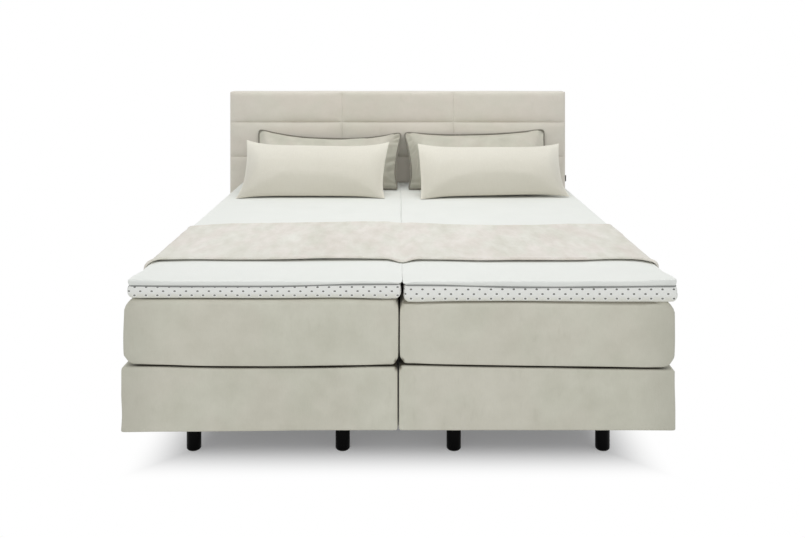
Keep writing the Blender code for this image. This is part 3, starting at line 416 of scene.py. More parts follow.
def make_cream():
    """A plain weave with slubs: thicker yarns here and there, both ways."""
    look, place = start_finish(
        "cream cloth", {"Sheen Weight": 0.15, "Sheen Roughness": 0.5, "Specular IOR Level": 0.2}
    )
    x, y, z = parts_of(place)
    weave = ribs(x, YARN) * ribs((y + z) * 0.72, YARN) * 0.5 + 0.5
    slub_across = clouds(place, (30, 420, 420), 1.0)
    slub_up = clouds(place, (420, 30, 30), 1.0)
    broad = clouds(place, 4.0)
    shade = 0.5 + (weave - 0.5) * 0.3 + (slub_across + slub_up - 1.0) * 0.5
    shade = shade + (broad - 0.5) * 0.5
    colour = mixed(shade, (227, 223, 209), (244, 240, 227))
    # Painted shade, darker towards the cushion's lower edge.
    colour = mixed(measure(place, "painted_shade") * 0.5, colour, (178, 173, 158))
    height = weave * 0.4 + slub_across * 0.3 + slub_up * 0.3
    return close_finish(look, colour, height, 0.0007, 0.84 + (broad - 0.5) * 0.1)


cream = make_cream()


# %% Dark cloths and the pocket cloth
def make_felted(name, dark, light, scale, rough):
    """A pressed cloth of short fibres, for the parts behind and below."""
    look, place = start_finish(name, {"Roughness": rough, "Specular IOR Level": 0.2})
    fibres = clouds(place, (scale, scale * 0.4, scale), 3.0, 0.7)
    dots = cells(place, scale * 0.6)
    colour = mixed(fibres * 0.7 + dots * 0.3, dark, light)
    return close_finish(look, colour, fibres + dots * 0.5, 0.0005)


dust_cloth = make_felted("black dust cloth", (28, 28, 30), (52, 52, 54), 500, 0.9)
pocket_cloth = make_felted("white pocket cloth", (214, 214, 210), (236, 236, 233), 420, 0.9)
tab_cloth = make_felted("dark woven tab", (34, 34, 34), (62, 62, 60), 1500, 0.7)
felt = make_felted("grey felt", (92, 90, 86), (126, 124, 118), 700, 0.95)

# %% [markdown]
# ## Foam, wood and metal
#
# Inside are pine rails, a plywood deck, brackets of galvanised steel, coils of bright wire
# and cut foam. The legs are turned wood under black lacquer, which is smooth enough to
# show a soft reflection, with a faint orange-peel unevenness.

# %% Foam
look, place = start_finish("cream foam", {"Roughness": 0.95, "Specular IOR Level": 0.1})
pores = step_between(cells(place, 480), 0.05, 0.55)
colour = mixed(pores * 0.7 + clouds(place, 5.0) * 0.3, (196, 184, 148), (232, 222, 190))
foam = close_finish(look, colour, pores, 0.0008)

# %% Planed pine
# Its rings are drawn out along the rails, with fine pores between them.
look, place = start_finish("planed pine", {"Specular IOR Level": 0.35})
warped = clouds(place, (16, 1.6, 30), 3.0, 0.6)
rings = (warped * 60).math("SINE") * 0.5 + 0.5
pores = clouds(place, (900, 30, 900), 1.0)
shade = rings * 0.55 + warped * 0.35 + pores * 0.15
colour = mixed(shade, (218, 186, 138), (180, 138, 88))
wood = close_finish(look, colour, rings * 0.4 + pores * 0.6, 0.0004, 0.55 + pores * 0.15)


# %% Steels and lacquer
def make_steel(name, dark, light, scale, rough):
    """Bare metal with spangles or drawing marks."""
    look, place = start_finish(name, {"Metallic": 1.0})
    flakes = cells(place, scale)
    smear = clouds(place, scale * 4)
    colour = mixed(flakes * 0.6 + smear * 0.4, dark, light)
    return close_finish(look, colour, smear, 0.0002, rough + (flakes - 0.5) * 0.2)


steel = make_steel("galvanised steel", (150, 152, 155), (196, 198, 200), 140, 0.42)
spring_steel = make_steel("spring steel", (120, 122, 126), (170, 172, 176), 500, 0.34)

look, place = start_finish("black lacquer", {"Specular IOR Level": 0.06})
scuff = clouds(place, 26, 3.0)
colour = mixed(scuff, (1, 1, 1), (6, 6, 6))
lacquer = close_finish(look, colour, clouds(place, 240), 0.0002, 0.36 + (scuff - 0.5) * 0.2)

# %% [markdown]
# ## From grids to soft skins
#
# A cover is a closed skin. It could be a cube with a bevel, but its faces would stay dead
# flat. Here every skin starts as a fine grid over a cuboid, with its lines close together
# near the edges. One function rounds it, and gentle waves then push it in and out.

# %% Grid lines and skins
WAVE_COUNT = 14


def lines(low, high, edge, spacing, steps=5):
    """Grid lines from low to high: close together within the edge, spaced out between."""
    near = [edge * (1 - math.cos(math.pi / 2 * i / steps)) for i in range(steps)]
    count = max(2, round((high - low - 2 * edge) / spacing))
    middle = np.linspace(low + edge, high - edge, count + 1)
    return np.concatenate([[low + n for n in near], middle, [high - n for n in near[::-1]]])


def skin(*grids):
    """The surface of a cuboid as a grid of quads, and each point's place on it."""
    index, points, faces = {}, [], []

    def corner(*place):
        if place not in index:
            index[place] = len(points)
            points.append([grid[number] for grid, number in zip(grids, place)])
        return index[place]

    counts = [len(grid) - 1 for grid in grids]
    for axis in range(3):
        first, second = [a for a in range(3) if a != axis]
        turns = ((0, 0), (1, 0), (1, 1), (0, 1)) if axis == 1 else ((0, 0), (0, 1), (1, 1), (1, 0))
        for end, order in ((0, 1), (counts[axis], -1)):
            for i in range(counts[first]):
                for j in range(counts[second]):
                    face = []
                    for di, dj in turns:
                        place = [end] * 3
                        place[first], place[second] = i + di, j + dj
                        face.append(corner(*place))
                    faces.append(face[::order])
    return np.array(points, float), faces


def ring_faces(rings, sides, start=0, looped=False, strip=False):
    """Quads between rings of points that follow each other, or between open strips."""
    faces = []
    for ring in range(rings if looped else rings - 1):
        here, there = start + ring * sides, start + (ring + 1) % rings * sides
        for step in range(sides - strip):
            after = (step + 1) % sides
            faces.append([here + step, here + after, there + after, there + step])
    return faces


def rounded(points, low, high, plan, edge, fullness=2.0):
    """Rounds a cuboid: plan holds the radii across and along the bed, edge the upright ones."""
    radius = np.column_stack([np.full(len(points), 1.0) * each for each in (*plan, edge)])
    held = np.clip(points, low + radius, high - radius)
    out = (points - held) / radius
    length = np.maximum((np.abs(out) ** fullness).sum(1) ** (1 / fullness), 1e-9)
    return held + radius * out / length[:, None] * (length[:, None] > 1e-6)


def waves(points, length, seed):
    """Smooth unevenness from about -1 to 1, the same each time for one seed."""
    chance = np.random.default_rng(seed)
    total = np.zeros(len(points))
    for _ in range(WAVE_COUNT):
        way = chance.normal(size=3)
        way /= np.linalg.norm(way)
        size = length * chance.uniform(0.7, 1.8)
        total += np.sin(points @ way * 2 * math.pi / size + chance.uniform(0, 2 * math.pi))
    return total / math.sqrt(WAVE_COUNT)


def swayed(points, side, terms):
    """Waves of several lengths added up. Each term has a length, a seed and a size."""
    return sum(waves(points, length, seed + SIDES[side]) * size for length, seed, size in terms)


def dents(points, length, seed, depth):
    """The same unevenness, inwards only."""
    return np.abs(waves(points, length, seed)) * depth


def rise(values, low, high):
    """0 below low, 1 above high and a soft rise between them, for arrays."""
    share = np.clip((values - low) / (high - low), 0, 1)
    return share * share * (3 - 2 * share)


def fall(values, low, high):
    """1 below low, 0 above high and a soft fall between them."""
    return 1 - rise(values, low, high)


def between(ends, share):
    """The value at a share of the way from one end to the other."""
    return ends[0] + (ends[1] - ends[0]) * share


# %% How the seams at the foot end run
# Sewn seams are never quite level. Each list goes across the bed, with pairs of a place in
# metres from the middle and how many metres the seam lies above its plain level there.
SEAM_RUNS = {
    "box_left": ((-0.87, 0.004), (-0.80, 0.006), (-0.65, 0.0), (-0.38, -0.001), (-0.19, 0.002),
                 (-0.04, 0.004)),
    "box_right": ((0.04, 0.008), (0.17, 0.005), (0.40, 0.001), (0.66, -0.002), (0.87, -0.006)),
    "edge_left": ((-0.89, -0.0068), (-0.84, -0.005), (-0.63, -0.0042), (-0.53, -0.0032),
                  (-0.42, -0.0022), (-0.32, -0.0004), (-0.20, 0.0)),
    "edge_right": ((0.04, 0.0), (0.78, 0.0), (0.90, -0.001)),
    "hem_left": ((-0.82, -0.0025), (-0.74, -0.0016), (-0.38, -0.003), (-0.19, -0.0003),
                 (-0.04, -0.005)),
    "hem_right": ((0.04, -0.010), (0.17, -0.006), (0.40, -0.005), (0.66, -0.0085),
                  (0.82, -0.0085)),
    "piping_left": ((-0.84, -0.0013), (-0.74, -0.0032), (-0.38, -0.0036), (-0.19, 0.0026),
                    (-0.03, 0.0036)),
    "piping_right": ((0.04, 0.0003), (0.17, 0.0), (0.40, -0.0071), (0.66, -0.0058),
                     (0.82, -0.0036), (0.90, -0.0029)),
}


def seam_run(name, points):
    """How far a seam is above its plain level, fading from the foot end towards the head."""
    places, ups = np.array(SEAM_RUNS[name]).T
    shifts = np.linspace(-0.06, 0.06, 7)
    level = sum(np.interp(points[:, 0] + shift, places, ups) for shift in shifts) / len(shifts)
    return level * fall(points[:, 1], FOOT_Y + 0.01, FOOT_Y + 0.15)


# %% New pieces
def add_piece(name, points, faces, look, body, node, slot):
    """A piece in the bed's own space that stands for a CAD node and rides on a body."""
    mesh = bpy.data.meshes.new(name)
    mesh.from_pydata([tuple(p) for p in points], [], faces)
    mesh.materials.append(look)
    mesh.shade_smooth()
    piece = placed(name, mesh)
    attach(piece, body)
    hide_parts(node)
    print("piece", name, len(mesh.polygons), "faces")
    return piece


def modify(piece, kind, **settings):
    """Adds a modifier with its settings."""
    made = piece.modifiers.new(kind.lower(), kind)
    for name, value in settings.items():
        setattr(made, name, value)


def write_measure(piece, name, values):
    """Gives each point of a piece a value that its finish reads."""
    written = piece.data.attributes.new(name, "FLOAT", "POINT")
    written.data.foreach_set("value", np.asarray(values, float))


def node_box(name):
    """A node's lowest and highest corners as arrays."""
    low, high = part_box(name)
    return np.array(low), np.array(high)


def widen(low, high, side, amount):
    """Moves the outer side further out."""
    (low if side == "left" else high)[0] += SIDES[side] * amount


def inner_outer(low, high, side):
    """Where the side next to the other half is, and where the outer side is."""
    return (high[0], low[0]) if side == "left" else (low[0], high[0])


# %% [markdown]
# ## Boxes
#
# Each box is a wooden frame with springs and foam under a tight velvet cover. Its upper
# edges are soft over the foam, its lower edges are pulled sharp round the frame, and the
# fabric is turned under and stapled, so the cover is open below, where the dust cloth is.

# %% Box covers
HELD_IN = 0.0008
BOX_EDGES = (0.024, 0.024, 0.022)
BOX_GAPS = (0.03, 0.04, 0.022)
BOX_PLAN_RADIUS = (0.013, 0.006)
BOX_TOP_RADII = (0.006, 0.015)
BOX_BOTTOM_RADIUS = 0.004
BOX_SIDE_REACH = 0.07
BOX_FULLNESS = 2.2
BOX_PROUD = 0.002
BOX_SWAY = ((0.30, 11, 0.0011), (0.085, 21, 0.0004))
BOX_SWELLS = (0.0007, 0.0029)
SWELL_DEPTHS = (0.3, 1.1)
TURN_UNDER = 0.012
BOX_SHOULDER = 0.003
CLOTH = 0.003
# Painted shade in the gaps between the two halves: its strength and how far it reaches.
PAINTED_GAP_SHADE = 0.8
PAINTED_GAP_REACH = (0.001, 0.013)
# Painted shade at the outer foot corners of the boxes and mattresses: its depth, and how far it
# reaches from the side and from the foot.
PAINTED_CORNER_SHADE = 0.42
PAINTED_CORNER_REACH = (0.16, 0.06, 0.30)


def edge_distance(shaped, low, high):
    """Metres from the nearest of the four upright sides."""
    return np.minimum(shaped[:, :2] - low[:2], high[:2] - shaped[:, :2]).min(1)


def side_share(shaped, low, high, reach):
    """1 at the two long sides and 0 farther from them than the reach."""
    aside = np.minimum(shaped[:, 0] - low[0], high[0] - shaped[:, 0])
    return fall(aside, 0.4 * reach, reach)


def corner_painted_shade(points, outside, foot):
    """Painted shade round the outer corner at the foot: how much darker it is painted there."""
    near = fall(np.abs(points[:, 0] - outside), 0.0, PAINTED_CORNER_REACH[0])
    return PAINTED_CORNER_SHADE * near * fall(points[:, 1] - foot, *PAINTED_CORNER_REACH[1:])


def inner_swell(shaped, low, high, side, edge, swells):
    """How far the side next to the other half swells: most of it inside the dark gap."""
    x, y, z = shaped.T
    near = fall(np.abs(x - inner_outer(low, high, side)[0]), 0.0, 0.006)
    above = z - low[2]
    upright = rise(above, 0.0, 0.006 + edge) * fall(z, high[2] - 0.03, high[2])
    start = low[1] + 0.004 + SWELL_DEPTHS[0] * above
    inside = rise(y, start, start + 0.012 + SWELL_DEPTHS[1] * above)
    return near * upright * between(swells, inside) * -SIDES[side]


def build_box_cover(side):
    """A tight cover with soft upper edges, open below."""
    name = f"box_cover_{side}"
    low, high = node_box(name)
    widen(low, high, side, BOX_PROUD)
    inner, outer = inner_outer(low, high, side)
    middle = (low + high) / 2
    points, faces = skin(*[lines(*fact) for fact in zip(low, high, BOX_EDGES, BOX_GAPS)])
    gx, gy, gz = points.T
    top_edge = between(BOX_TOP_RADII, side_share(points, low, high, BOX_SIDE_REACH))
    edge = np.where(gz > middle[2], top_edge, BOX_BOTTOM_RADIUS)
    shaped = rounded(points, low, high, BOX_PLAN_RADIUS, edge, BOX_FULLNESS)
    x, y, z = shaped.T
    under = (gz <= low[2] + 1e-6) & (edge_distance(shaped, low, high) > TURN_UNDER)
    faces = [face for face in faces if not under[face].all()]
    outwards = (shaped - middle) / (high - low) * 2
    wall = np.clip(np.abs(outwards[:, :2]).max(1), 0, 1)
    free = rise(wall, 0.97, 1.0) * rise(z, low[2] + 0.004, low[2] + 0.05)
    free *= fall(z, high[2] - 0.02, high[2])
    sway = swayed(shaped, side, BOX_SWAY)
    swell = inner_swell(shaped, low, high, side, BOX_BOTTOM_RADIUS, BOX_SWELLS)
    for axis in (0, 1):
        way = np.sign(outwards[:, axis]) * (np.abs(outwards[:, axis]) > 0.97)
        way *= (np.abs(swell) < 1e-5) if axis == 0 else 1
        shaped[:, axis] += way * free * (sway - HELD_IN)
    x += swell
    top = rise(z, high[2] - 0.002, high[2])
    z -= top * dents(shaped, 0.35, 31, 0.0012)
    near_edge = fall(edge_distance(shaped, low, high), 0.0, BOX_SIDE_REACH)
    near_top = rise(z, high[2] - 0.03, high[2])
    z -= near_edge * near_top * BOX_SHOULDER
    z += near_top * seam_run(f"box_{side}", shaped)
    near_bottom = fall(z, low[2] + 0.01, low[2] + 0.08)
    z += near_bottom * seam_run(f"edge_{side}", shaped)
    cover = add_piece(f"box_{side}", shaped, faces, velvet, "bed_base", name, "velvet")
    # The box's top is painted near black inside a border of velvet: painted shade in the slot under
    # the mattress, and in the gap between the boxes.
    painted_slot_shade = (gz > high[2] - 1e-6) * rise(gy - low[1], 0.003, 0.010)
    painted_slot_shade *= rise(np.abs(gx - outer), 0.02, 0.06)
    aside = np.hypot(gx - inner, (high[2] - gz) * 0.7)
    write_measure(cover, "fold", np.maximum(painted_slot_shade, PAINTED_GAP_SHADE * fall(aside, *PAINTED_GAP_REACH)))
    write_measure(cover, "painted_shade", corner_painted_shade(points, outer, low[1]))
    modify(cover, "SOLIDIFY", thickness=CLOTH, offset=-1.0)


for side in SIDES:
    build_box_cover(side)

# %% [markdown]
# ## Legs
#
# Eight turned legs are screwed under the boxes. A leg is a profile spun round an upright
# axis: a felt glide, an eased lower edge, a straight shaft and a thin washer at the top.

# %% Legs
LEG_SIDES = 48
STUD = 0.005
SHARP = math.radians(50)


def spun(profile, centre, sides):
    """A closed solid from (radius, height) pairs spun round an upright axis."""
    points = []
    for radius, level in profile:
        for step in range(sides):
            angle = 2 * math.pi * step / sides
            x = centre[0] + radius * math.cos(angle)
            points.append((x, centre[1] + radius * math.sin(angle), level))
    count = len(points)
    ends = [list(range(sides))[::-1], list(range(count - sides, count))]
    return points, ring_faces(len(profile), sides) + ends


def build_leg(end, place, side):
    """A turned leg with its felt glide and its threaded stud."""
    name = f"{end}_{place}_leg_{side}"
    low, high = node_box(name)
    radius = (high[0] - low[0]) / 2
    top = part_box(f"box_cover_{side}")[0].z
    profile = [
        (radius - 0.005, 0.0), (radius - 0.004, 0.0008), (radius - 0.004, 0.0028),
        (radius - 0.0022, 0.0032), (radius - 0.0006, 0.0046), (radius, 0.0068),
        (radius, top - 0.0052), (radius - 0.0004, top - 0.0044),
        (radius - 0.0016, top - 0.0038), (radius - 0.0016, top - 0.0026),
        (radius - 0.0003, top - 0.0022), (radius - 0.0003, top - 0.0003),
        (STUD, top - 0.0003), (STUD, high[2] - 0.001), (STUD - 0.001, high[2]),
    ]
    turned = spun(profile, (low + high) / 2, LEG_SIDES)
    leg = add_piece(name + "_turned", *turned, lacquer, "bed_base", name, "black_lacquer")
    leg.data.materials.append(felt)
    for polygon in leg.data.polygons:
        if polygon.center.z < 0.003:
            polygon.material_index = 1
    modify(leg, "EDGE_SPLIT", split_angle=SHARP)


for side in SIDES:
    for end in ("foot", "head"):
        for place in ("outer", "inner"):
            build_leg(end, place, side)

# %% [markdown]
# ## Mattresses
#
# A mattress in the same velvet lies on each box. It is fuller than the box: its edges are
# rounder, its sides belly out a little between them and its lower edge curls up off the
# box, which leaves a dark seam, deepened with painted shade. The left one stands a few millimetres
# taller.

# %% Mattress covers
MATTRESS_EDGE = 0.036
MATTRESS_GAPS = (0.03, 0.04, 0.018)
MATTRESS_SIDE_RADII = (0.018, 0.040)
MATTRESS_FOOT_RADII = (0.006, 0.024)
MATTRESS_TOP_RADII = (0.018, 0.038)
MATTRESS_BOTTOM_RADII = (0.006, 0.036)
MATTRESS_SWAY = ((0.42, 41, 0.0013), (0.11, 51, 0.0005))
MATTRESS_SWELLS = (0.0019, 0.0029)
MATTRESS_BELLY = 0.003
MATTRESS_PROUD = (0.0035, 0.013)
MATTRESS_SIDE_REACH = 0.09
MATTRESS_FULLNESS = 2.1
MATTRESS_HOLLOW = 0.0006
LOWER_EDGE_LIFT = 0.0045
LOWER_CORNER_LIFT = 0.006
TALLER = {"left": 0.0065, "right": 0.0}


def build_mattress_cover(side):
    """A full soft cover with round edges."""
    name = f"mattress_cover_{side}"
    low, high = node_box(name)
    low[:2] += MATTRESS_BELLY
    high[:2] -= MATTRESS_BELLY
    low[1] -= MATTRESS_PROUD[1]
    high[2] += TALLER[side]
    widen(low, high, side, MATTRESS_PROUD[0])
    inner, outer = inner_outer(low, high, side)
    middle, half = (low + high) / 2, (high - low) / 2
    grids = [lines(*ends, MATTRESS_EDGE, gap, 7) for *ends, gap in zip(low, high, MATTRESS_GAPS)]
    points, faces = skin(*grids)
    gx, gy, gz = points.T
    beside = side_share(points, low, high, MATTRESS_SIDE_REACH)
    edges = [between(radii, beside) for radii in (MATTRESS_TOP_RADII, MATTRESS_BOTTOM_RADII)]
    outwards = gx * SIDES[side] > abs(low[0] + high[0]) / 2
    near_top = rise(gz, high[2] - 0.042, high[2] - 0.004)
    plan = (np.where(outwards, *MATTRESS_SIDE_RADII[::-1]), between(MATTRESS_FOOT_RADII, near_top))
    edge = np.where(gz > middle[2], *edges)
    shaped = rounded(points, low, high, plan, edge, MATTRESS_FULLNESS)
    x, y, z = shaped.T
    across, along, up = ((shaped - middle) / half).T
    round_side = np.maximum(0, 1 - np.abs(up) ** 2.4)
    sway = swayed(shaped, side, MATTRESS_SWAY)
    for axis, share, other in ((0, across, along), (1, along, across)):
        out = np.sign(share) * rise(np.abs(share), 0.985, 1.0)
        corner = 1 - rise(np.abs(other), 0.90, 1.0) * (0.7 if axis else 0.0)
        shaped[:, axis] += out * round_side * (MATTRESS_BELLY * corner + sway)
    x += inner_swell(shaped, low, high, side, 0.03, MATTRESS_SWELLS)
    top = rise(up, 0.97, 1.0)
    z -= top * (MATTRESS_HOLLOW + dents(shaped, 0.5, 61, 0.0012))
    low_down = fall(up, -1.0, -0.4)
    curl = fall(edge_distance(shaped, low, high), 0.0, 0.08) * low_down
    corner_lift = LOWER_CORNER_LIFT * rise(across * SIDES[side], 0.94, 1.0)
    z += curl * (LOWER_EDGE_LIFT + corner_lift)
    z += low_down * seam_run(f"box_{side}", shaped)
    cover = add_piece(
        f"mattress_{side}_cover", shaped, faces, velvet, f"mattress_{side}", name, "velvet"
    )
    # Painted shade: the underside in the slot over the box, the top's front strip under the topper's
    # lower edge, and the gap between the mattresses.
    painted_underside_shade = (gz < low[2] + 1e-6) * rise(gy - low[1], 0.002, 0.010)
    hem = node_box(f"topper_cover_{side}")[0][2] + TALLER[side] + seam_run(f"hem_{side}", shaped)
    above = rise(z, hem - 0.0025, hem + 0.0005)
    above *= 0.7 * fall(y, low[1] + 0.014, low[1] + 0.030)
    above *= rise(np.abs(gx - outer), 0.03, 0.06)
    aside = np.hypot(gx - inner, (gz - low[2]) * 0.45)
    folds = (painted_underside_shade, above, PAINTED_GAP_SHADE * fall(aside, *PAINTED_GAP_REACH))
    write_measure(cover, "fold", np.max(folds, axis=0))
    write_measure(cover, "painted_shade", corner_painted_shade(points, outer, low[1]))


for side in SIDES:
    build_mattress_cover(side)

# %% [markdown]
# ## Toppers
#
# A topper is a thin pad: a white knitted top, a border of eyelet mesh and a cord of grey
# piping in the seam between them. The skin gets a groove at the seam for the piping to
# sit in, and the "border" measure that its finish reads.

# %% Topper covers
TOPPER_EDGE = 0.018
TOPPER_GAPS = (0.03, 0.035)
SEAM_LEVELS = (-0.006, -0.0035, -0.0015, 0.0, 0.0015, 0.0035, 0.005)
TOPPER_PLAN_RADIUS = 0.016
TOPPER_RADIUS = 0.010
TOPPER_INNER_RADIUS = 0.002
TOPPER_SWAY = ((0.16, 71, 0.0006), (0.6, 75, 0.0006))
TOPPER_PROUD = {"left": 0.008, "right": 0.010}
CORNER_PUFF = 0.005
LOWER_CORNER = 0.026
TOPPER_BOTTOM_RADIUS = 0.006
BORDER_ROWS = {"left": (0.0068, 1.14, -0.0055), "right": (0.0052, 1.0, 0.0008)}
SEAM_PINCH = (0.0085, 0.0055)
PINCH_SPREAD = 0.0038
TOPPER_CROWN = 0.0012
TOPPER_DIPS = 0.0009
TOPPER_HOLLOW = 0.0024
TOPPER_CURL = 0.002
ROOM_AT_HEAD = 0.005
INNER_CLOSE = 0.0022
INNER_APART = 0.0022
INNER_SHOULDER = 0.008
SHOULDER_FADE = 0.75


def border_measure(piece, shaped, low, high, border, rows):
    """Writes metres along the edge, metres above the lower edge and 1 on the border."""
    half = (high - low) / 2
    x, y = (shaped - (low + high) / 2)[:, :2].T
    on_end = half[1] - np.abs(y) < half[0] - np.abs(x)
    along = np.where(on_end, x, np.sign(x) * (half[0] + y + half[1]))
    along = np.where(on_end & (y > 0), -x + 4 * half[0], along)
    up = (shaped[:, 2] - low[2]) * rows[1] + rows[2]
    written = piece.data.attributes.new("border", "FLOAT_VECTOR", "POINT")
    written.data.foreach_set("vector", np.column_stack([along - rows[0], up, border]).ravel())


def build_topper(side):
    """The topper's skin, with a groove where the piping is sewn in."""
    name = f"topper_cover_{side}"
    sign = SIDES[side]
    low, high = node_box(name)
    pipe_low, pipe_high = node_box(f"topper_piping_{side}")
    seam = (pipe_low[2] + pipe_high[2]) / 2
    low[:2], high[:2] = pipe_low[:2], pipe_high[:2]
    low[2] += TALLER[side]
    high[1] -= ROOM_AT_HEAD
    widen(low, high, side, TOPPER_PROUD[side])
    inner, outer = inner_outer(low, high, side)
    middle, half = (low + high) / 2, (high - low) / 2
    grids = [lines(*ends, TOPPER_EDGE, gap, 6) for *ends, gap in zip(low, high, TOPPER_GAPS)]
    curve = 1 - np.cos(math.pi / 2 * np.arange(5) / 5)
    sides = np.linspace(low[2] + 0.012, seam - 0.009, 6)
    levels = [low[2] + 0.012 * curve, sides, seam + np.array(SEAM_LEVELS)]
    points, faces = skin(*grids, np.concatenate([*levels, high[2] - 0.010 * curve[::-1]]))
    gx, gy, gz = points.T
    from_inner = np.abs(gx - inner)
    upper = np.where(from_inner < 0.02, TOPPER_INNER_RADIUS, TOPPER_RADIUS)
    edge = np.where(gz > seam - 0.001, upper, TOPPER_BOTTOM_RADIUS)
    shaped = rounded(points, low, high, (TOPPER_PLAN_RADIUS,) * 2, edge)
    x, y, z = shaped.T
    across, along, up = ((shaped - middle) / half).T
    # The groove of the seam, and the sides' unevenness
    pinch = np.exp(-np.abs(z - seam) / PINCH_SPREAD)
    sway = swayed(shaped, side, TOPPER_SWAY)
    upright = rise(z, low[2] + 0.004, low[2] + 0.014)
    upright *= fall(z, high[2] - 0.006, high[2] - 0.001)
    for axis, share in ((0, across), (1, along)):
        out = np.sign(share) * rise(np.abs(share), 0.975, 1.0)
        shaped[:, axis] -= out * (pinch * SEAM_PINCH[axis] + (sway + HELD_IN) * upright)
    beyond = rise(across * sign, 0.9, 1.0) * TOPPER_PROUD[side]
    x -= sign * beyond * rise(y, low[1] + 0.03, low[1] + 0.14)
    # The two toppers close up above the seam and stand apart below it
    closing = rise(z, seam, seam + 0.006)
    closing *= rise(y, low[1] + 0.010, low[1] + 0.045)
    against = rise(-across * sign, 0.985, 1.0)
    x -= sign * closing * against * (INNER_CLOSE + HELD_IN + sway)
    apart = fall(z, seam - 0.004, seam + 0.001)
    x += sign * apart * against * INNER_APART
    # The top's crown, its puffed outer corner and its shoulder at the gap
    crown = np.maximum(0, 1 - across**4) * np.maximum(0, 1 - along**16)
    dip = waves(shaped, 0.45, 81 + sign) * TOPPER_DIPS
    z += rise(up, 0.93, 1.0) * (crown * TOPPER_CROWN + dip - TOPPER_HOLLOW)
    from_corner = np.hypot(x - outer, y - low[1])
    z += CORNER_PUFF * rise(up, 0.5, 1.0) * fall(from_corner, 0.03, 0.16)
    shoulder = fall(from_inner, 0.0, 0.075) ** 2 * rise(z, seam, high[2])
    run_low, run_high = node_box("runner")
    clear = rise(y, run_high[1], run_high[1] + 0.10)
    ahead = rise(y, low[1] + 0.03, low[1] + 0.10)
    clear += ahead * fall(y, run_low[1] - 0.12, run_low[1] - 0.06)
    z -= shoulder * INNER_SHOULDER * (1 - SHOULDER_FADE * clear)
    # The lower edge curls up, most at the round corners of the foot end
    curl = fall(edge_distance(shaped, low, high), 0.0, 0.05) * fall(up, -1.0, -0.6)
    z += curl * TOPPER_CURL
    from_side = np.minimum(x - low[0], high[0] - x)
    beyond = np.clip(LOWER_CORNER - from_side, 0, LOWER_CORNER)
    lift = LOWER_CORNER - np.sqrt(LOWER_CORNER**2 - beyond**2 * 0.98)
    at_foot = fall(y, low[1] + 0.03, low[1] + 0.15)
    z += lift * at_foot * fall(z, low[2], seam - 0.004)
    border = z < seam
    hem, cord = [seam_run(f"{kind}_{side}", shaped) for kind in ("hem", "piping")]
    hem_share = fall(z, low[2], seam)
    cord_share = (1 - hem_share) * fall(z, seam, high[2])
    hem_share *= fall(edge_distance(shaped, low, high), 0.004, 0.03)
    z += hem * hem_share + cord * cord_share
    cover = add_piece(f"topper_{side}_cover", shaped, faces, knit, f"topper_{side}", name, "knit")
    border_measure(cover, shaped, low, high, border, BORDER_ROWS[side])
    return low, high, seam


# %% Piping round a closed line
PIPING_RADIUS = 0.0024


def tube_round(line, radius, sides=10):
    """A closed cord along a closed line of points."""
    ahead = np.roll(line, -1, 0) - np.roll(line, 1, 0)
    ahead /= np.linalg.norm(ahead, axis=1)[:, None]
    across = np.cross(ahead, [0.0, 0.0, 1.0])
    weak = np.linalg.norm(across, axis=1) < 0.2
    across[weak] = np.cross(ahead[weak], [1.0, 0.0, 0.0])
    across /= np.linalg.norm(across, axis=1)[:, None]
    upward = np.cross(across, ahead)
    points = []
    for step in range(sides):
        angle = 2 * math.pi * step / sides
        points.append(line + radius * (math.cos(angle) * across + math.sin(angle) * upward))
    return np.stack(points, 1).reshape(-1, 3), ring_faces(len(line), sides, looped=True)


def round_plan(low, high, radius, spacing=0.02, steps=8):
    """Points round a rectangle with round corners, seen from above."""
    ring = []
    for quarter, (right, back) in enumerate(((1, 1), (0, 1), (0, 0), (1, 0))):
        cx = high[0] - radius if right else low[0] + radius
        cy = high[1] - radius if back else low[1] + radius
        for step in range(steps + 1):
            angle = (quarter + step / steps) * math.pi / 2
            ring.append((cx + radius * math.cos(angle), cy + radius * math.sin(angle)))
    dense = []
    for start, end in zip(ring, ring[1:] + ring[:1]):
        count = max(1, round(math.dist(start, end) / spacing))
        dense.append(np.linspace(start, end, count, endpoint=False))
    return np.concatenate(dense)


def build_topper_piping(side, low, high, seam):
    """A grey cord in the seam between the top and the border."""
    inset = np.array(SEAM_PINCH) - 0.0012
    plan = round_plan(low[:2] + inset, high[:2] - inset, TOPPER_PLAN_RADIUS - inset.min())
    line = np.column_stack([plan, np.full(len(plan), seam)])
    line[:, 2] += waves(line, 0.35, 91 + SIDES[side]) * 0.0004
    line[:, 2] += seam_run(f"piping_{side}", line)
    add_piece(
        f"topper_{side}_piping", *tube_round(line, PIPING_RADIUS), topper_piping,
        f"topper_{side}", f"topper_piping_{side}", "piping",
    )


for side in SIDES:
    build_topper_piping(side, *build_topper(side))

# %% [markdown]
# ## Headboard
#
# The headboard is a padded board: three columns of panels in rows, each sewn through to the
# board, plain velvet wrapped over its sides and top. The grid's lines crowd at every seam,
# the panels swell between them, and little puckers run off the seams.

# %% Headboard cover
HEADBOARD_COLUMNS = 3
HEADBOARD_ROWS = 6
HEADBOARD_TOP_ROW = 0.172
HEADBOARD_EDGE = 0.004
PANEL_CROWN = 0.012
PANEL_POWER = 5.0
RIM_POWER = 12.0
PANEL_SIDE_POWER = 7
PANEL_SLOPES = (0.62, 0.66)
PUCKER_REACH = 0.022
PUCKER_DEPTH = 0.0009
SIDE_WAVES = 0.0008
SIDE_TUCK = 0.0009
HEADBOARD_PROUD = (0.008, 0.0015)
BACK_RIM = 0.012
SEAM_SHARES = (0.0, 0.0035, 0.009, 0.018, 0.034, 0.06, 0.10, 0.16, 0.24, 0.33, 0.42)


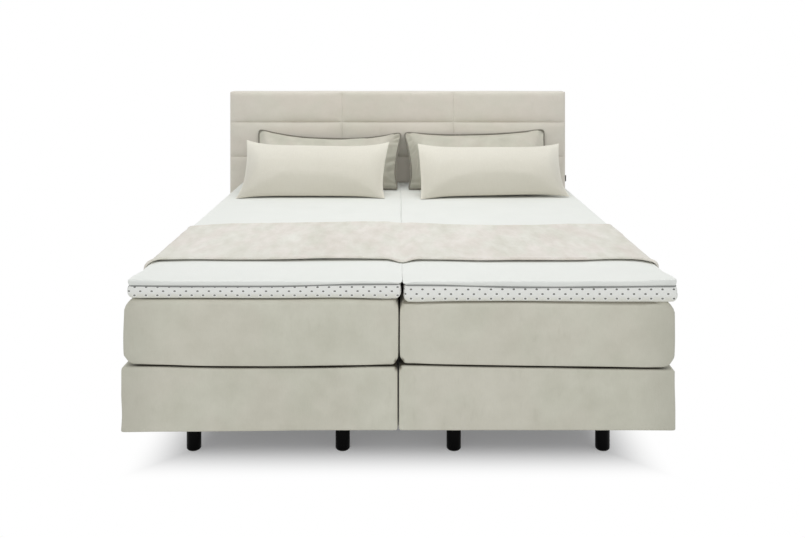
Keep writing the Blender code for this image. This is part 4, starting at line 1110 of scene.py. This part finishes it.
def panel_lines(edges):
    """Grid lines for a row of panels, close together at the seams."""
    shares = [*SEAM_SHARES, 0.5, *[1 - s for s in SEAM_SHARES[:0:-1]]]
    panels = zip(edges[:-1], edges[1:])
    return np.array([between(ends, share) for ends in panels for share in shares] + [edges[-1]])


def seam_distance(values, edges):
    """Metres to the nearest seam, and the share of the way across the panel."""
    panel = np.clip(np.searchsorted(edges, values, side="right") - 1, 0, len(edges) - 2)
    start, end = edges[panel], edges[panel + 1]
    return np.minimum(values - start, end - values), (values - start) / (end - start)


def build_headboard():
    """Panels on the front, plain sides, top and back edge."""
    low, high = node_box("headboard_cover")
    low[0] -= HEADBOARD_PROUD[0]
    high[0] += HEADBOARD_PROUD[1]
    middle, half = (low + high) / 2, (high - low) / 2
    columns = np.linspace(low[0], high[0], HEADBOARD_COLUMNS + 1)
    row_top = high[2] - HEADBOARD_TOP_ROW
    rows = np.append(np.linspace(low[2], row_top, HEADBOARD_ROWS), high[2])
    depths = lines(low[1], high[1], 0.012, 0.03)
    points, faces = skin(panel_lines(columns), depths, panel_lines(rows))
    gx, gy, gz = points.T
    shaped = rounded(points, low, high, (HEADBOARD_EDGE,) * 2, HEADBOARD_EDGE)
    x, y, z = shaped.T
    gap_x, share_x = seam_distance(gx, columns)
    gap_z, share_z = seam_distance(gz, rows)
    power = np.where(gz > (row_top + high[2]) / 2, RIM_POWER, PANEL_POWER)
    full = np.maximum(0, 1 - np.abs(2 * share_x - 1) ** PANEL_SIDE_POWER) ** PANEL_SLOPES[0]
    full = full * np.maximum(0, 1 - np.abs(2 * share_z - 1) ** power) ** PANEL_SLOPES[1]
    aside = np.abs(gx - middle[0])
    rim_x = rise(half[0] - aside, 0.0, 0.05)
    rim_z = rise(high[2] - gz, 0.0, 0.05) * rise(gz, 0.0, 0.05)
    puckers = waves(points * [1, 1, 0.35], 0.045, 101) * np.exp(-gap_z / PUCKER_REACH) * rim_z
    puckers += waves(points * [0.35, 1, 1], 0.045, 102) * np.exp(-gap_x / PUCKER_REACH) * rim_x
    pillow = waves(points, 0.30, 103) * PUCKER_DEPTH * full
    front = fall(gy, low[1], low[1] + (high[1] - low[1]) * 0.35)
    y += front * (PANEL_CROWN * (1 - full) + puckers * PUCKER_DEPTH - pillow)
    back = rise(gy, low[1] + 0.02, low[1] + 0.05)
    end = np.sign(gx) * (aside > half[0] - 1e-4)
    x += end * back * (waves(shaped, 0.25, 104) * SIDE_WAVES - SIDE_TUCK)
    top = (gz > high[2] - 1e-4) * back
    z += top * (waves(shaped, 0.3, 105) * SIDE_WAVES - SIDE_TUCK)
    inside = (np.abs(shaped - middle) < half - BACK_RIM)[:, [0, 2]].all(1)
    hollow = inside & (y > high[1] - 1e-4)
    faces = [face for face in faces if not hollow[face].all()]
    cover = add_piece(
        "headboard_quilt", shaped, faces, headboard_velvet, "bed_base", "headboard_cover", "velvet"
    )
    modify(cover, "SOLIDIFY", thickness=CLOTH, offset=-1.0)


build_headboard()


# %% The blank side tab
RIBBON = 0.0007


def build_tab():
    """A short woven ribbon folded in two, sewn in at the headboard's side."""
    low, high = node_box("side_tab")
    low[0] += HEADBOARD_PROUD[1]
    reach = high[0] - low[0]
    angles = [math.pi * (step / 8 - 0.5) for step in range(9)]
    fold = [(reach - 0.0013 + math.cos(a) * 0.0010, math.sin(a) * 0.0011) for a in angles]
    leg = [(0.0002, 0.0005), (reach * 0.5, 0.0010)]
    path = [*[(x, -y) for x, y in leg], *fold, *leg[::-1]]
    levels = np.linspace(low[2], high[2], 9)
    middle = (low[1] + high[1]) / 2
    points = [(low[0] + x, middle + y, z) for z in levels for x, y in path]
    faces = ring_faces(len(levels), len(path), strip=True)
    tab = add_piece("blank_tab", points, faces, tab_cloth, "bed_base", "side_tab", "tab")
    modify(tab, "SOLIDIFY", thickness=RIBBON, offset=0.0)


build_tab()

# %% [markdown]
# ## Cushions
#
# A cushion is two flat pieces of cloth sewn round their edge and filled. A bulge from a
# formula has the right fullness, but no life. Here the cloth is simulated too: two sheets
# that share their seam are blown up until they hold the filling, so the seam puckers. What
# the simulation adds to the plain bulge is kept in the measure that each cushion needs.

# %% The cushion's two sheets
CUSHION_COLUMNS = 64
CUSHION_ROWS = 36


def quads_of(grid):
    """The four point numbers of each square of a grid."""
    corners = (grid[:-1, :-1], grid[1:, :-1], grid[1:, 1:], grid[:-1, 1:])
    return np.stack(corners, -1).reshape(-1, 4)


us, vs = np.linspace(-1, 1, CUSHION_COLUMNS + 1), np.linspace(-1, 1, CUSHION_ROWS + 1)
us, vs = us * (1.35 - 0.35 * us**2), vs * (1.2 - 0.2 * vs**2)
upper_sheet = np.arange(len(us) * len(vs)).reshape(len(us), len(vs))
lower_sheet = upper_sheet.copy()
inner_shape = lower_sheet[1:-1, 1:-1].shape
lower_sheet[1:-1, 1:-1] = upper_sheet.size + np.arange(math.prod(inner_shape)).reshape(inner_shape)
on_sheet = np.pad(np.ones(inner_shape), 1)
upper, lower = [np.dstack([*np.meshgrid(us, vs, indexing="ij"), f * on_sheet]) for f in (1, -1)]
PLACES = np.concatenate([upper.reshape(-1, 3), lower[1:-1, 1:-1].reshape(-1, 3)])
SQUARES = [*quads_of(upper_sheet).tolist(), *quads_of(lower_sheet)[:, ::-1].tolist()]
SEAM = np.concatenate([upper_sheet[:-1, 0], upper_sheet[-1, :-1], upper_sheet[:0:-1, -1],
                       upper_sheet[0, :0:-1]])
print("cushion pattern:", len(PLACES), "points")


# %% Outline, first form and filling
FILLING = dict(
    quality=6, mass=0.35, tension_stiffness=22, compression_stiffness=22, shear_stiffness=8,
    bending_stiffness=1.2, air_damping=3, use_pressure=True, uniform_pressure_force=0.0,
    pressure_factor=22.0, use_pressure_volume=True,
)
FILLING_FRAMES = 34


def outline(u, v, fact):
    """Where the seam lies seen flat: round corners, moved, with the sides drawn in."""
    half = np.array(fact["size"]) / 2
    left, right, bottom, top = fact["draws"]
    flat = np.column_stack([u, v]) * half
    held = np.clip(flat, fact["round"] - half, half - fact["round"])
    out = flat - held
    length = np.maximum(np.hypot(*out.T), 1e-9)
    share = np.abs(out).max(1) / length
    x, y = (held + out * share[:, None]).T
    waist = (1 - np.abs(v) ** 2.4) * (1 - 0.45 * v)
    x = x + waist * np.where(u < 0, left, -right) * np.abs(u)
    y = y + (1 - np.abs(u) ** fact["bow"]) * np.where(v < 0, bottom, -top) * np.abs(v)
    for (cu, cv), (dx, dy) in fact["corners"].items():
        share = (1 + u * cu) * (1 + v * cv) / 4
        x = x + share * dx
        y = y + share * dy
    return np.column_stack([x, y])


def fullness(u, v, fact):
    """How full the cushion is from seam to seam: fullest a little below its middle."""
    low_v = v + fact["sag"] * (1 - v * v)
    lengthwise = np.maximum(0, 1 - np.abs(u) ** 5) ** 0.8
    return lengthwise * np.maximum(0, 1 - np.abs(low_v) ** fact["ridge"]) ** fact["edge"]


def plain_form(fact):
    """The smooth bulge."""
    u, v, face = PLACES.T
    depth = face * fact["thickness"] / 2 * fullness(u, v, fact)
    return np.column_stack([outline(u, v, fact), depth])


def volume_of(points, faces):
    """What a closed skin holds."""
    a, b, c, d = [points[column] for column in np.array(faces).T]
    return (a * (np.cross(b, c) + np.cross(c, d))).sum() / 6


def ready_to_fill(name, fact):
    """Two flat sheets with cloth behaviour, a little larger than the filled cushion."""
    u, v, face = PLACES.T
    width, height = fact["size"]
    width += 0.16 * fact["thickness"]
    height *= 1 + 1.1 * (fact["thickness"] / height) ** 2
    start = np.maximum(0, 1 - u**8) * np.maximum(0, 1 - v**8)
    points = np.column_stack([u * width / 2, v * height / 2, face * 0.012 * start])
    mesh = bpy.data.meshes.new(name)
    mesh.from_pydata([tuple(p) for p in points], [], SQUARES)
    sheet = placed(name, mesh)
    cloth = sheet.modifiers.new("cloth", "CLOTH").settings
    for setting, value in FILLING.items():
        setattr(cloth, setting, value)
    cloth.target_volume = volume_of(plain_form(fact), SQUARES)
    cloth.effector_weights.gravity = 0
    return sheet


def filled(sheets):
    """Steps the cloth of all sheets at once and returns their points."""
    scene = bpy.context.scene
    for number in range(1, FILLING_FRAMES + 1):
        scene.frame_set(number)
    seen = bpy.context.evaluated_depsgraph_get()
    found = {}
    for name, sheet in sheets.items():
        mesh = sheet.evaluated_get(seen).to_mesh()
        points = np.zeros(len(mesh.vertices) * 3, np.float32)
        mesh.vertices.foreach_get("co", points)
        points = points.reshape(-1, 3).astype(float)
        sheet.evaluated_get(seen).to_mesh_clear()
        found[name] = points - points.mean(0)
        bpy.data.objects.remove(sheet)
    scene.frame_set(1)
    return found


# %% What each cushion looks like in the picture
# The four draws are how far the left, right, lower and upper sides come in; a high bow
# keeps the long sides straight between their corners. A low edge number makes a blunt edge,
# 1 a sharp one. Creases run between two places, each -1 to 1 across and up, and have a depth.
REAR = dict(thickness=0.155, lean=46.0, turn=0.0, forward=0.0, sag=0.10, ridge=2.1, edge=1.0,
            round=0.038, bow=2.4, puckers=0.6)
FRONT = dict(thickness=0.186, lean=47.5, sag=0.13, ridge=1.8, edge=0.82, round=0.005, bow=5.0,
             puckers=0.2)
CUSHIONS = {
    "rear_cushion_left": dict(
        REAR, size=(0.790, 0.400), draws=(0.014, 0.022, 0.010, 0.062),
        corners={(-1, 1): (-0.014, 0.032), (1, 1): (0.000, 0.006), (1, -1): (-0.018, 0.0)},
        creases=[
            ((0.99, 0.00), (0.86, -0.26), 0.020), ((0.99, 0.62), (0.84, 0.50), 0.011),
            ((0.98, 0.84), (0.87, 0.62), 0.013), ((0.92, 0.97), (0.84, 0.74), 0.009),
            ((0.98, -0.35), (0.84, -0.55), 0.012), ((0.97, -0.80), (0.80, -0.78), 0.013),
        ],
    ),
    "rear_cushion_right": dict(
        REAR, size=(0.780, 0.400), draws=(0.026, 0.014, 0.010, 0.034),
        corners={(1, 1): (0.014, 0.030), (-1, 1): (0.004, 0.006), (-1, -1): (0.022, 0.0)},
        creases=[
            ((-0.99, 0.62), (-0.82, 0.66), 0.010), ((-0.99, 0.40), (-0.81, 0.52), 0.015),
            ((-0.99, 0.18), (-0.83, 0.33), 0.014), ((-0.98, 0.00), (-0.86, 0.12), 0.011),
            ((-0.93, 0.97), (-0.86, 0.80), 0.009), ((-0.97, -0.75), (-0.82, -0.80), 0.012),
            ((-0.88, -0.15), (-0.90, -0.60), 0.009),
        ],
    ),
    "front_cushion_left": dict(
        FRONT, size=(0.752, 0.394), draws=(0.026, 0.017, 0.026, 0.037), turn=0.0, forward=0.035,
        corners={(-1, 1): (-0.002, 0.008), (1, 1): (0.010, -0.006), (1, -1): (-0.008, 0.0),
                 (-1, -1): (-0.012, 0.0)},
        creases=[((-0.25, 0.90), (0.25, 0.86), 0.003), ((0.55, 0.70), (0.78, 0.72), 0.003)],
    ),
    "front_cushion_right": dict(
        FRONT, size=(0.756, 0.362), draws=(0.008, 0.024, 0.026, 0.028), turn=3.0, forward=0.042,
        corners={(1, 1): (0.005, 0.000), (-1, 1): (0.004, 0.005), (-1, -1): (-0.004, -0.012)},
        creases=[((-0.2, 0.90), (0.15, 0.87), 0.003), ((-0.8, 0.70), (-0.6, 0.75), 0.003)],
    ),
}


# %% Fill the cushions
blown = {}
sheets = {name: ready_to_fill(name + "_sheet", fact) for name, fact in CUSHIONS.items()}
blown = filled(sheets)
for name, points in blown.items():
    print(name, "filled to", [round(float(v), 3) for v in points.max(0) - points.min(0)])


# %% From the simulated cushion to the one in the picture
CREASE_WIDTH = 0.0065
CREASE_RIDGE = 0.45
SMOOTHINGS = 30


def smoothed_sheets(values):
    """Values averaged over the neighbours on both sheets, with the seam held."""
    found = values.copy()
    for grid in (upper_sheet, lower_sheet):
        field = values[grid]
        for _ in range(SMOOTHINGS):
            around = field[:-2, 1:-1] + field[2:, 1:-1] + field[1:-1, :-2] + field[1:-1, 2:]
            field[1:-1, 1:-1] = around / 4
        found[grid] = field
    return found


def dressed(points, fact):
    """The plain bulge with the simulation's puckers and the creases on it."""
    u, v, face = PLACES.T
    plain = plain_form(fact)
    if points is not None:
        points[:, 2] -= points[SEAM, 2].mean()
        plain = plain + (points - smoothed_sheets(points)) * fact["puckers"]
    half = np.array(fact["size"]) / 2
    flat = np.column_stack([u, v]) * half
    for start, end, depth in fact["creases"]:
        start, end = np.array(start) * half, np.array(end) * half
        along = np.clip((flat - start) @ (end - start) / ((end - start) @ (end - start)), 0, 1)
        away = np.linalg.norm(flat - start - along[:, None] * (end - start), axis=1)
        away = away / (CREASE_WIDTH * (1 + 0.6 * along))
        form = np.exp(-(away**2)) - CREASE_RIDGE * np.exp(-((away - 2.0) ** 2))
        plain[:, 2] -= face * depth * (1 - 0.5 * along) * form
    return plain


# %% Stand the cushions up
CORD_RADIUS = 0.0042
CORD_GAP = 0.0005
CORD_OUT = 0.0030
REST_GAP = 0.0006
LEAN_GAP = 0.0015
SUNK_IN = 0.006
topper_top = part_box("topper_cover_left")[1].z
headboard_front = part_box("headboard_cover")[0].y
walls = {}


def stood_up(points, fact, node):
    """Tips a flat cushion up and back, turns it, and puts it where its node is."""
    lean = Matrix.Rotation(math.radians(90 - fact["lean"]), 3, "X")
    turn = Matrix.Rotation(math.radians(fact["turn"]), 3, "Z")
    low, high = node_box(node)
    stood = points @ np.array((turn @ lean).transposed())
    return stood + (low + high) / 2 - np.array([0.0, fact["forward"], 0.0])


def pushed_out(points, wall, margin):
    """Moves points that lie inside another piece's skin out to just above it."""
    moved = points.copy()
    for number, point in enumerate(points):
        spot, normal, _, _ = wall.find_nearest(Vector(point), 0.08)
        if spot is not None and (Vector(point) - spot).dot(normal) < margin:
            moved[number] = spot + normal * margin
    return moved


def build_cushion(name, look, slot):
    """One cushion: filled, creased, stood up, and flat where it rests."""
    kind, side = name.rsplit("_", 1)
    rear = kind == "rear_cushion"
    points = stood_up(dressed(blown.get(name), CUSHIONS[name]), CUSHIONS[name], name)
    points[:, 2] -= points[:, 2].min() - topper_top - REST_GAP + SUNK_IN
    points[:, 2] = np.maximum(points[:, 2], topper_top + REST_GAP)
    u, v, _ = PLACES.T
    if rear:
        points[:, 1] = np.minimum(points[:, 1], headboard_front - 2 * REST_GAP)
        walls[side] = BVHTree.FromPolygons([Vector(p) for p in points], SQUARES)
        # Painted shade at the inner end, deepest low down.
        painted_shade = rise(-u * SIDES[side], 0.74, 0.90) * (1 - rise(v, -0.9, 0.95) * 0.85)
    else:
        points = pushed_out(points, walls[side], LEAN_GAP)
        # Painted shade, darker towards the bottom; less of it near the side seams, which paints a
        # highlight along them.
        painted_shade = (1 - v) / 2 * (1 - 0.7 * rise(np.abs(u), 0.95, 1.0))
    piece = add_piece(f"{name}_filled", points, SQUARES, look, name, name, slot)
    write_measure(piece, "painted_shade", painted_shade)
    modify(piece, "SUBSURF", levels=1, render_levels=1)
    return points


def build_cushion_piping(side, points):
    """A darker cord all round the rear cushion's seam."""
    seam = points[SEAM]
    line = (np.roll(seam, -1, 0) + seam + np.roll(seam, 1, 0)) / 3
    away = line - line.mean(0)
    line = line + away / np.linalg.norm(away, axis=1)[:, None] * CORD_OUT
    line[:, 2] = np.maximum(line[:, 2], topper_top + CORD_RADIUS + CORD_GAP)
    line[:, 1] = np.minimum(line[:, 1], headboard_front - CORD_RADIUS - CORD_GAP)
    piece = add_piece(
        f"rear_cushion_{side}_piping", *tube_round(line, CORD_RADIUS), cushion_piping,
        f"rear_cushion_{side}", f"rear_cushion_piping_{side}", "piping",
    )
    modify(piece, "SUBSURF", levels=1, render_levels=1)


for side in SIDES:
    build_cushion_piping(side, build_cushion(f"rear_cushion_{side}", cushion_velvet, "velvet"))
for side in SIDES:
    build_cushion(f"front_cushion_{side}", cream, "cream_cloth")

# %% [markdown]
# ## The runner
#
# A velvet runner lies across both toppers and hangs down at the sides. Its path across the
# bed is worked out first: up one side, over the topper's shoulder, across, down into the
# gap between the toppers and out again. The cloth then follows that path, with soft hems.

# %% The runner's path across the bed
RUNNER_HANG = 0.200
RUNNER_DIP = 0.012
DIP_REACH = 0.065
BRIDGED_SHARE = 0.7
RUNNER_STEP = 0.0065
RUNNER_CORNER = 0.013
# How far each hem lies nearer the foot than its plain line, at places across the bed
NEAR_HEM = ((-0.84, 0.002), (-0.72, -0.004), (-0.61, -0.001), (-0.50, -0.006), (-0.38, -0.009),
            (-0.30, -0.012), (-0.21, -0.010), (-0.10, -0.008), (0.0, -0.004), (0.10, 0.0),
            (0.18, 0.006), (0.30, 0.017), (0.41, 0.008), (0.64, 0.006), (0.75, -0.013),
            (0.81, -0.014), (0.87, -0.006))
FAR_HEM = ((-0.87, 0.066), (-0.80, 0.038), (-0.74, 0.012), (-0.65, 0.008), (-0.50, 0.003),
           (-0.38, 0.0), (-0.20, -0.008), (-0.02, -0.006), (0.10, 0.008), (0.22, 0.028),
           (0.34, 0.041), (0.52, 0.047), (0.64, 0.034), (0.73, 0.022), (0.87, 0.028))
# Where each hem stands off the toppers: a place, its spread, the height and the reach inwards
STANDS_OFF = ((-0.25, 0.17, 0.0030, 0.10), (-0.10, 0.20, 0.0052, 0.16))
HEM_LIFT = 0.0045
HEM_LINES = (0.0, 0.0015, 0.004, 0.008, 0.013, 0.018, 0.022, 0.026, 0.034, 0.045)
HEM_WAVE = 0.0035
RUNNER_CLOTH = 0.006
RUNNER_SEAM = 0.0022
RUNNER_FOLDS = 3
RUNNER_FOLD_DEPTH = 0.010
# Where the near corners start to swing out, where they swing fully, and how far
SWINGS = {-1: (0.845, 0.905, 0.100), 1: (0.845, 0.930, 0.060)}


def hem_shift(x, places):
    """Metres that a hem lies nearer the foot than its plain line."""
    xs, shifts = np.array(places).T
    return sum(np.interp(x + step, xs, shifts) for step in (-0.02, 0.0, 0.02)) / 3


def runner_path():
    """Evenly spaced points of the runner's underside, from hem to hem."""
    pipes = [node_box(f"topper_piping_{side}") for side in SIDES]
    tops = (pipes[0][0][0] - 0.001, pipes[1][1][0] + 0.001)
    lows = (node_box("mattress_cover_left")[0][0] - 0.0045,
            max(tops[1], node_box("mattress_cover_right")[1][0] + 0.0045))
    gap = (pipes[0][1][0] + pipes[1][0][0]) / 2
    level = topper_top + 0.0008
    hem = node_box("runner")[0][2] + 0.002
    sag = level - 0.070
    halves = []
    for sign, x, low_x in zip((-1, 1), tops, lows):
        half = [(low_x + sign * 0.004, hem), (low_x + sign * 0.001, hem + 0.06),
                (low_x, sag - 0.02), ((low_x + x) / 2, sag), (x, level - RUNNER_CORNER)]
        for step in range(1, 8):
            angle = math.pi / 2 * step / 8
            half.append((x - sign * RUNNER_CORNER * (1 - math.cos(angle)),
                         level - RUNNER_CORNER * (1 - math.sin(angle))))
        halves.append(half)
    path = halves[0]
    for share in (0.0, 0.3, 0.6, 0.85):
        path.append((between((tops[0] + RUNNER_CORNER, gap), share), level))
    for step in range(-8, 9):
        dip = RUNNER_DIP * math.cos(step / 9 * math.pi / 2) ** 3
        path.append((gap + step / 9 * DIP_REACH, level - dip))
    for share in (0.15, 0.4, 0.7, 1.0):
        path.append((between((gap, tops[1] - RUNNER_CORNER), share), level))
    path = np.array(path + halves[1][::-1])
    steps = np.append(0, np.cumsum(np.linalg.norm(np.diff(path, axis=0), axis=1)))
    even = np.append(np.arange(0, steps[-1], RUNNER_STEP), steps[-1])
    return np.column_stack([np.interp(even, steps, path[:, a]) for a in (0, 1)]), steps[-1]


# %% Drape the runner
def build_runner():
    """A thick cloth along the path, with hems, folds in its sides and drooping corners."""
    path, length = runner_path()
    low, high = node_box("runner")
    width = high[1] - low[1]
    ahead = np.gradient(path, axis=0)
    ahead /= np.linalg.norm(ahead, axis=1)[:, None]
    upward = np.column_stack([-ahead[:, 1], ahead[:, 0]])
    ends = np.array(HEM_LINES)
    across = np.concatenate([ends, np.linspace(0.06, width - 0.06, 46), width - ends[::-1]])
    count = len(path)
    points, faces = skin(np.arange(count, dtype=float), across, [0.0, 1.0])
    station = points[:, 0].astype(int)
    y, layer = points[:, 1], points[:, 2]
    base, out = path[station], upward[station]
    hang = np.clip((topper_top - 0.016 - base[:, 1]) / RUNNER_HANG, 0, 1)
    share = y / width
    # The cloth, thicker at its turned hems, with a stitched line along them
    end_hem = np.minimum(station, count - 1 - station) * RUNNER_STEP
    near = np.minimum(np.minimum(y, width - y), end_hem)
    thick = RUNNER_CLOTH * np.sqrt(np.clip(near / 0.005, 0.04, 1))
    thick = thick + RUNNER_SEAM * np.exp(-(((near - 0.009) / 0.007) ** 2))
    thick = thick - RUNNER_SEAM * np.exp(-(((near - 0.023) / 0.0022) ** 2))
    spot = np.column_stack([base[:, 0], y, base[:, 1]])
    puff = dents(spot, 0.12, 111, 0.0011) + dents(spot, 0.05, 112, 0.0004)
    fold = (1 - np.cos(2 * math.pi * RUNNER_FOLDS * share)) / 2 * hang
    fold = fold * (1 + 0.3 * waves(spot, 0.2, 113))
    off = layer * (thick + puff)
    x = base[:, 0] + out[:, 0] * off + np.sign(base[:, 0]) * fold * RUNNER_FOLD_DEPTH
    # Its height: over the gap it sags less toward the head end, and its hems stand off
    z = base[:, 1] + out[:, 1] * off
    z = z + HEM_LIFT * fall(y, 0.0, 0.030) * fall(hang, 0.0, 0.1)
    dip = (np.abs(base[:, 0]) < 0.1) * (path[:, 1].max() - base[:, 1])
    z = z + dip * BRIDGED_SHARE * rise(share, 0.15, 0.9)
    for (middle, spread, up, reach), inwards in zip(STANDS_OFF, (y, width - y)):
        z = z + up * np.exp(-(((base[:, 0] - middle) / spread) ** 2)) * fall(inwards, 0, reach)
    # Where its hems run
    edge_wave = waves(np.column_stack([base[:, 0], y * 0, y * 0]), 0.5, 114) * HEM_WAVE
    depth = low[1] + y + edge_wave * (1 - 2 * share)
    for sign, (start, full, amount) in SWINGS.items():
        depth -= rise(sign * base[:, 0], start, full) * (1 - share) ** 2 * amount
    depth -= hem_shift(base[:, 0], NEAR_HEM) * (1 - share) + hem_shift(base[:, 0], FAR_HEM) * share
    depth += hang * np.sign(share - 0.5) * np.abs(2 * share - 1) * 0.004
    shaped = np.column_stack([x, depth, z])
    runner = add_piece(
        "runner_cloth", shaped, faces, runner_velvet, "runner", "runner", "runner_cloth"
    )
    print("runner cut:", round(width, 3), "x", round(float(length), 3))


build_runner()

# %% [markdown]
# ## What is inside
#
# Under the covers lie cut foams, a foam case round the springs, a core of pocketed springs,
# dust cloths and the back cloth. Cut foam has eased edges and a slightly uneven face, so
# each foam copies its node's shape and rounds it. Wood and metal nodes only need a finish.

# %% Foams and thin cloths
FOAM_EDGE = 0.004
FOAM_UNEVEN = 0.0006
CLOTH_SAG = 0.0008
FOAMS = {"mattress_bottom_foam": "mattress", "mattress_top_foam": "mattress",
         "topper_core": "topper"}


def eased_copy(node, body, raised=0.0):
    """A node's own shape with rounded edges, an uneven face and its underside raised."""
    shape = bmesh.new()
    shape.from_mesh(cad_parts[node].data)
    bmesh.ops.remove_doubles(shape, verts=shape.verts, dist=1e-5)
    bmesh.ops.dissolve_limit(
        shape, angle_limit=math.radians(1), verts=shape.verts, edges=shape.edges
    )
    sharp = [e for e in shape.edges if len(e.link_faces) == 2 and e.calc_face_angle() > 0.6]
    bmesh.ops.bevel(shape, geom=sharp, offset=FOAM_EDGE, segments=3, profile=0.5, affect="EDGES")
    bmesh.ops.triangulate(shape, faces=[f for f in shape.faces if len(f.verts) > 4])
    long = [e for e in shape.edges if e.calc_length() > 0.3]
    bmesh.ops.subdivide_edges(shape, edges=long, cuts=3, use_grid_fill=True)
    points = np.array([v.co for v in shape.verts])
    middle = points.mean(0)
    uneven = dents(points, 0.2, 121, FOAM_UNEVEN)
    points = points + np.sign(middle - points) * uneven[:, None]
    points[:, 2] += np.where(points[:, 2] < middle[2], raised, 0.0)
    faces = [[v.index for v in f.verts] for f in shape.faces]
    shape.free()
    piece = add_piece(node + "_cut", points, faces, foam, body, node, "foam")
    modify(piece, "EDGE_SPLIT", split_angle=SHARP)


def stretched_cloth(node, axis):
    """A thin cloth pulled flat, with a little sag between its fixings."""
    low, high = node_box(node)
    size = high - low
    grids = [np.linspace(low[a], high[a], max(3, round(size[a] / 0.06))) for a in range(3)]
    grids[axis] = np.array([low[axis], high[axis]])
    points, faces = skin(*grids)
    flat = [a for a in range(3) if a != axis]
    sag = np.sin(math.pi * (points - low)[:, flat] / size[flat]).prod(1)
    points[:, axis] += dents(points, 0.3, 131, CLOTH_SAG) * sag
    piece = add_piece(node + "_stretched", points, faces, dust_cloth, "bed_base", node, "dust_cloth")


for side in SIDES:
    eased_copy(f"foam_case_{side}", "bed_base")
    for part, body in FOAMS.items():
        eased_copy(f"{part}_{side}", f"{body}_{side}", TALLER[side] * (part == "topper_core"))
    stretched_cloth(f"dust_cloth_{side}", 2)
stretched_cloth("headboard_back_cloth", 1)

# %% Pocketed springs
POCKETS_ACROSS = 4
POCKETS_ALONG = 9
POCKET_SIDES = 20
POCKET_WALL = 0.001
POCKET_PROFILE = ((0.0, 0.05), (0.45, 0.02), (0.80, 0.0), (0.96, 0.03), (1.0, 0.14), (1.0, 0.5))


def build_pockets(side):
    """Rows of barrels: each a coil sewn into its own bag of cloth."""
    node = f"pocket_spring_core_{side}"
    low, high = node_box(node)
    pitch_x = (high[0] - low[0]) / POCKETS_ACROSS
    pitch_y = (high[1] - low[1]) / POCKETS_ALONG
    height = high[2] - low[2]
    rings = [(r, low[2] + z * height) for r, z in POCKET_PROFILE]
    rings += [(r, high[2] - z * height) for r, z in POCKET_PROFILE[-2::-1]]
    points, faces = [], []
    for column in range(POCKETS_ACROSS):
        for row in range(POCKETS_ALONG):
            cx = low[0] + (column + 0.5) * pitch_x
            cy = low[1] + (row + 0.5) * pitch_y
            faces += ring_faces(len(rings), POCKET_SIDES, len(points))
            for radius, level in rings:
                for step in range(POCKET_SIDES):
                    angle = 2 * math.pi * step / POCKET_SIDES
                    reach = radius * (1 + 0.02 * math.cos(6 * angle) * (radius < 0.99))
                    x = cx + reach * (pitch_x / 2 - POCKET_WALL) * math.cos(angle)
                    y = cy + reach * (pitch_y / 2 - POCKET_WALL) * math.sin(angle)
                    points.append((x, y, level))
    pockets = add_piece(f"pocket_springs_{side}", points, faces, pocket_cloth,
                        f"mattress_{side}", node, "pocket_cloth")


for side in SIDES:
    build_pockets(side)

# %% Wood and metal keep their shapes
KEPT = {"rail": wood, "deck_board": wood, "headboard_board": wood, "headboard_frame": wood,
        "bracket": steel, "spring_unit": spring_steel}
for name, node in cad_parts.items():
    for part, look in KEPT.items():
        if part in name:
            node.data.materials.clear()
            node.data.materials.append(look)
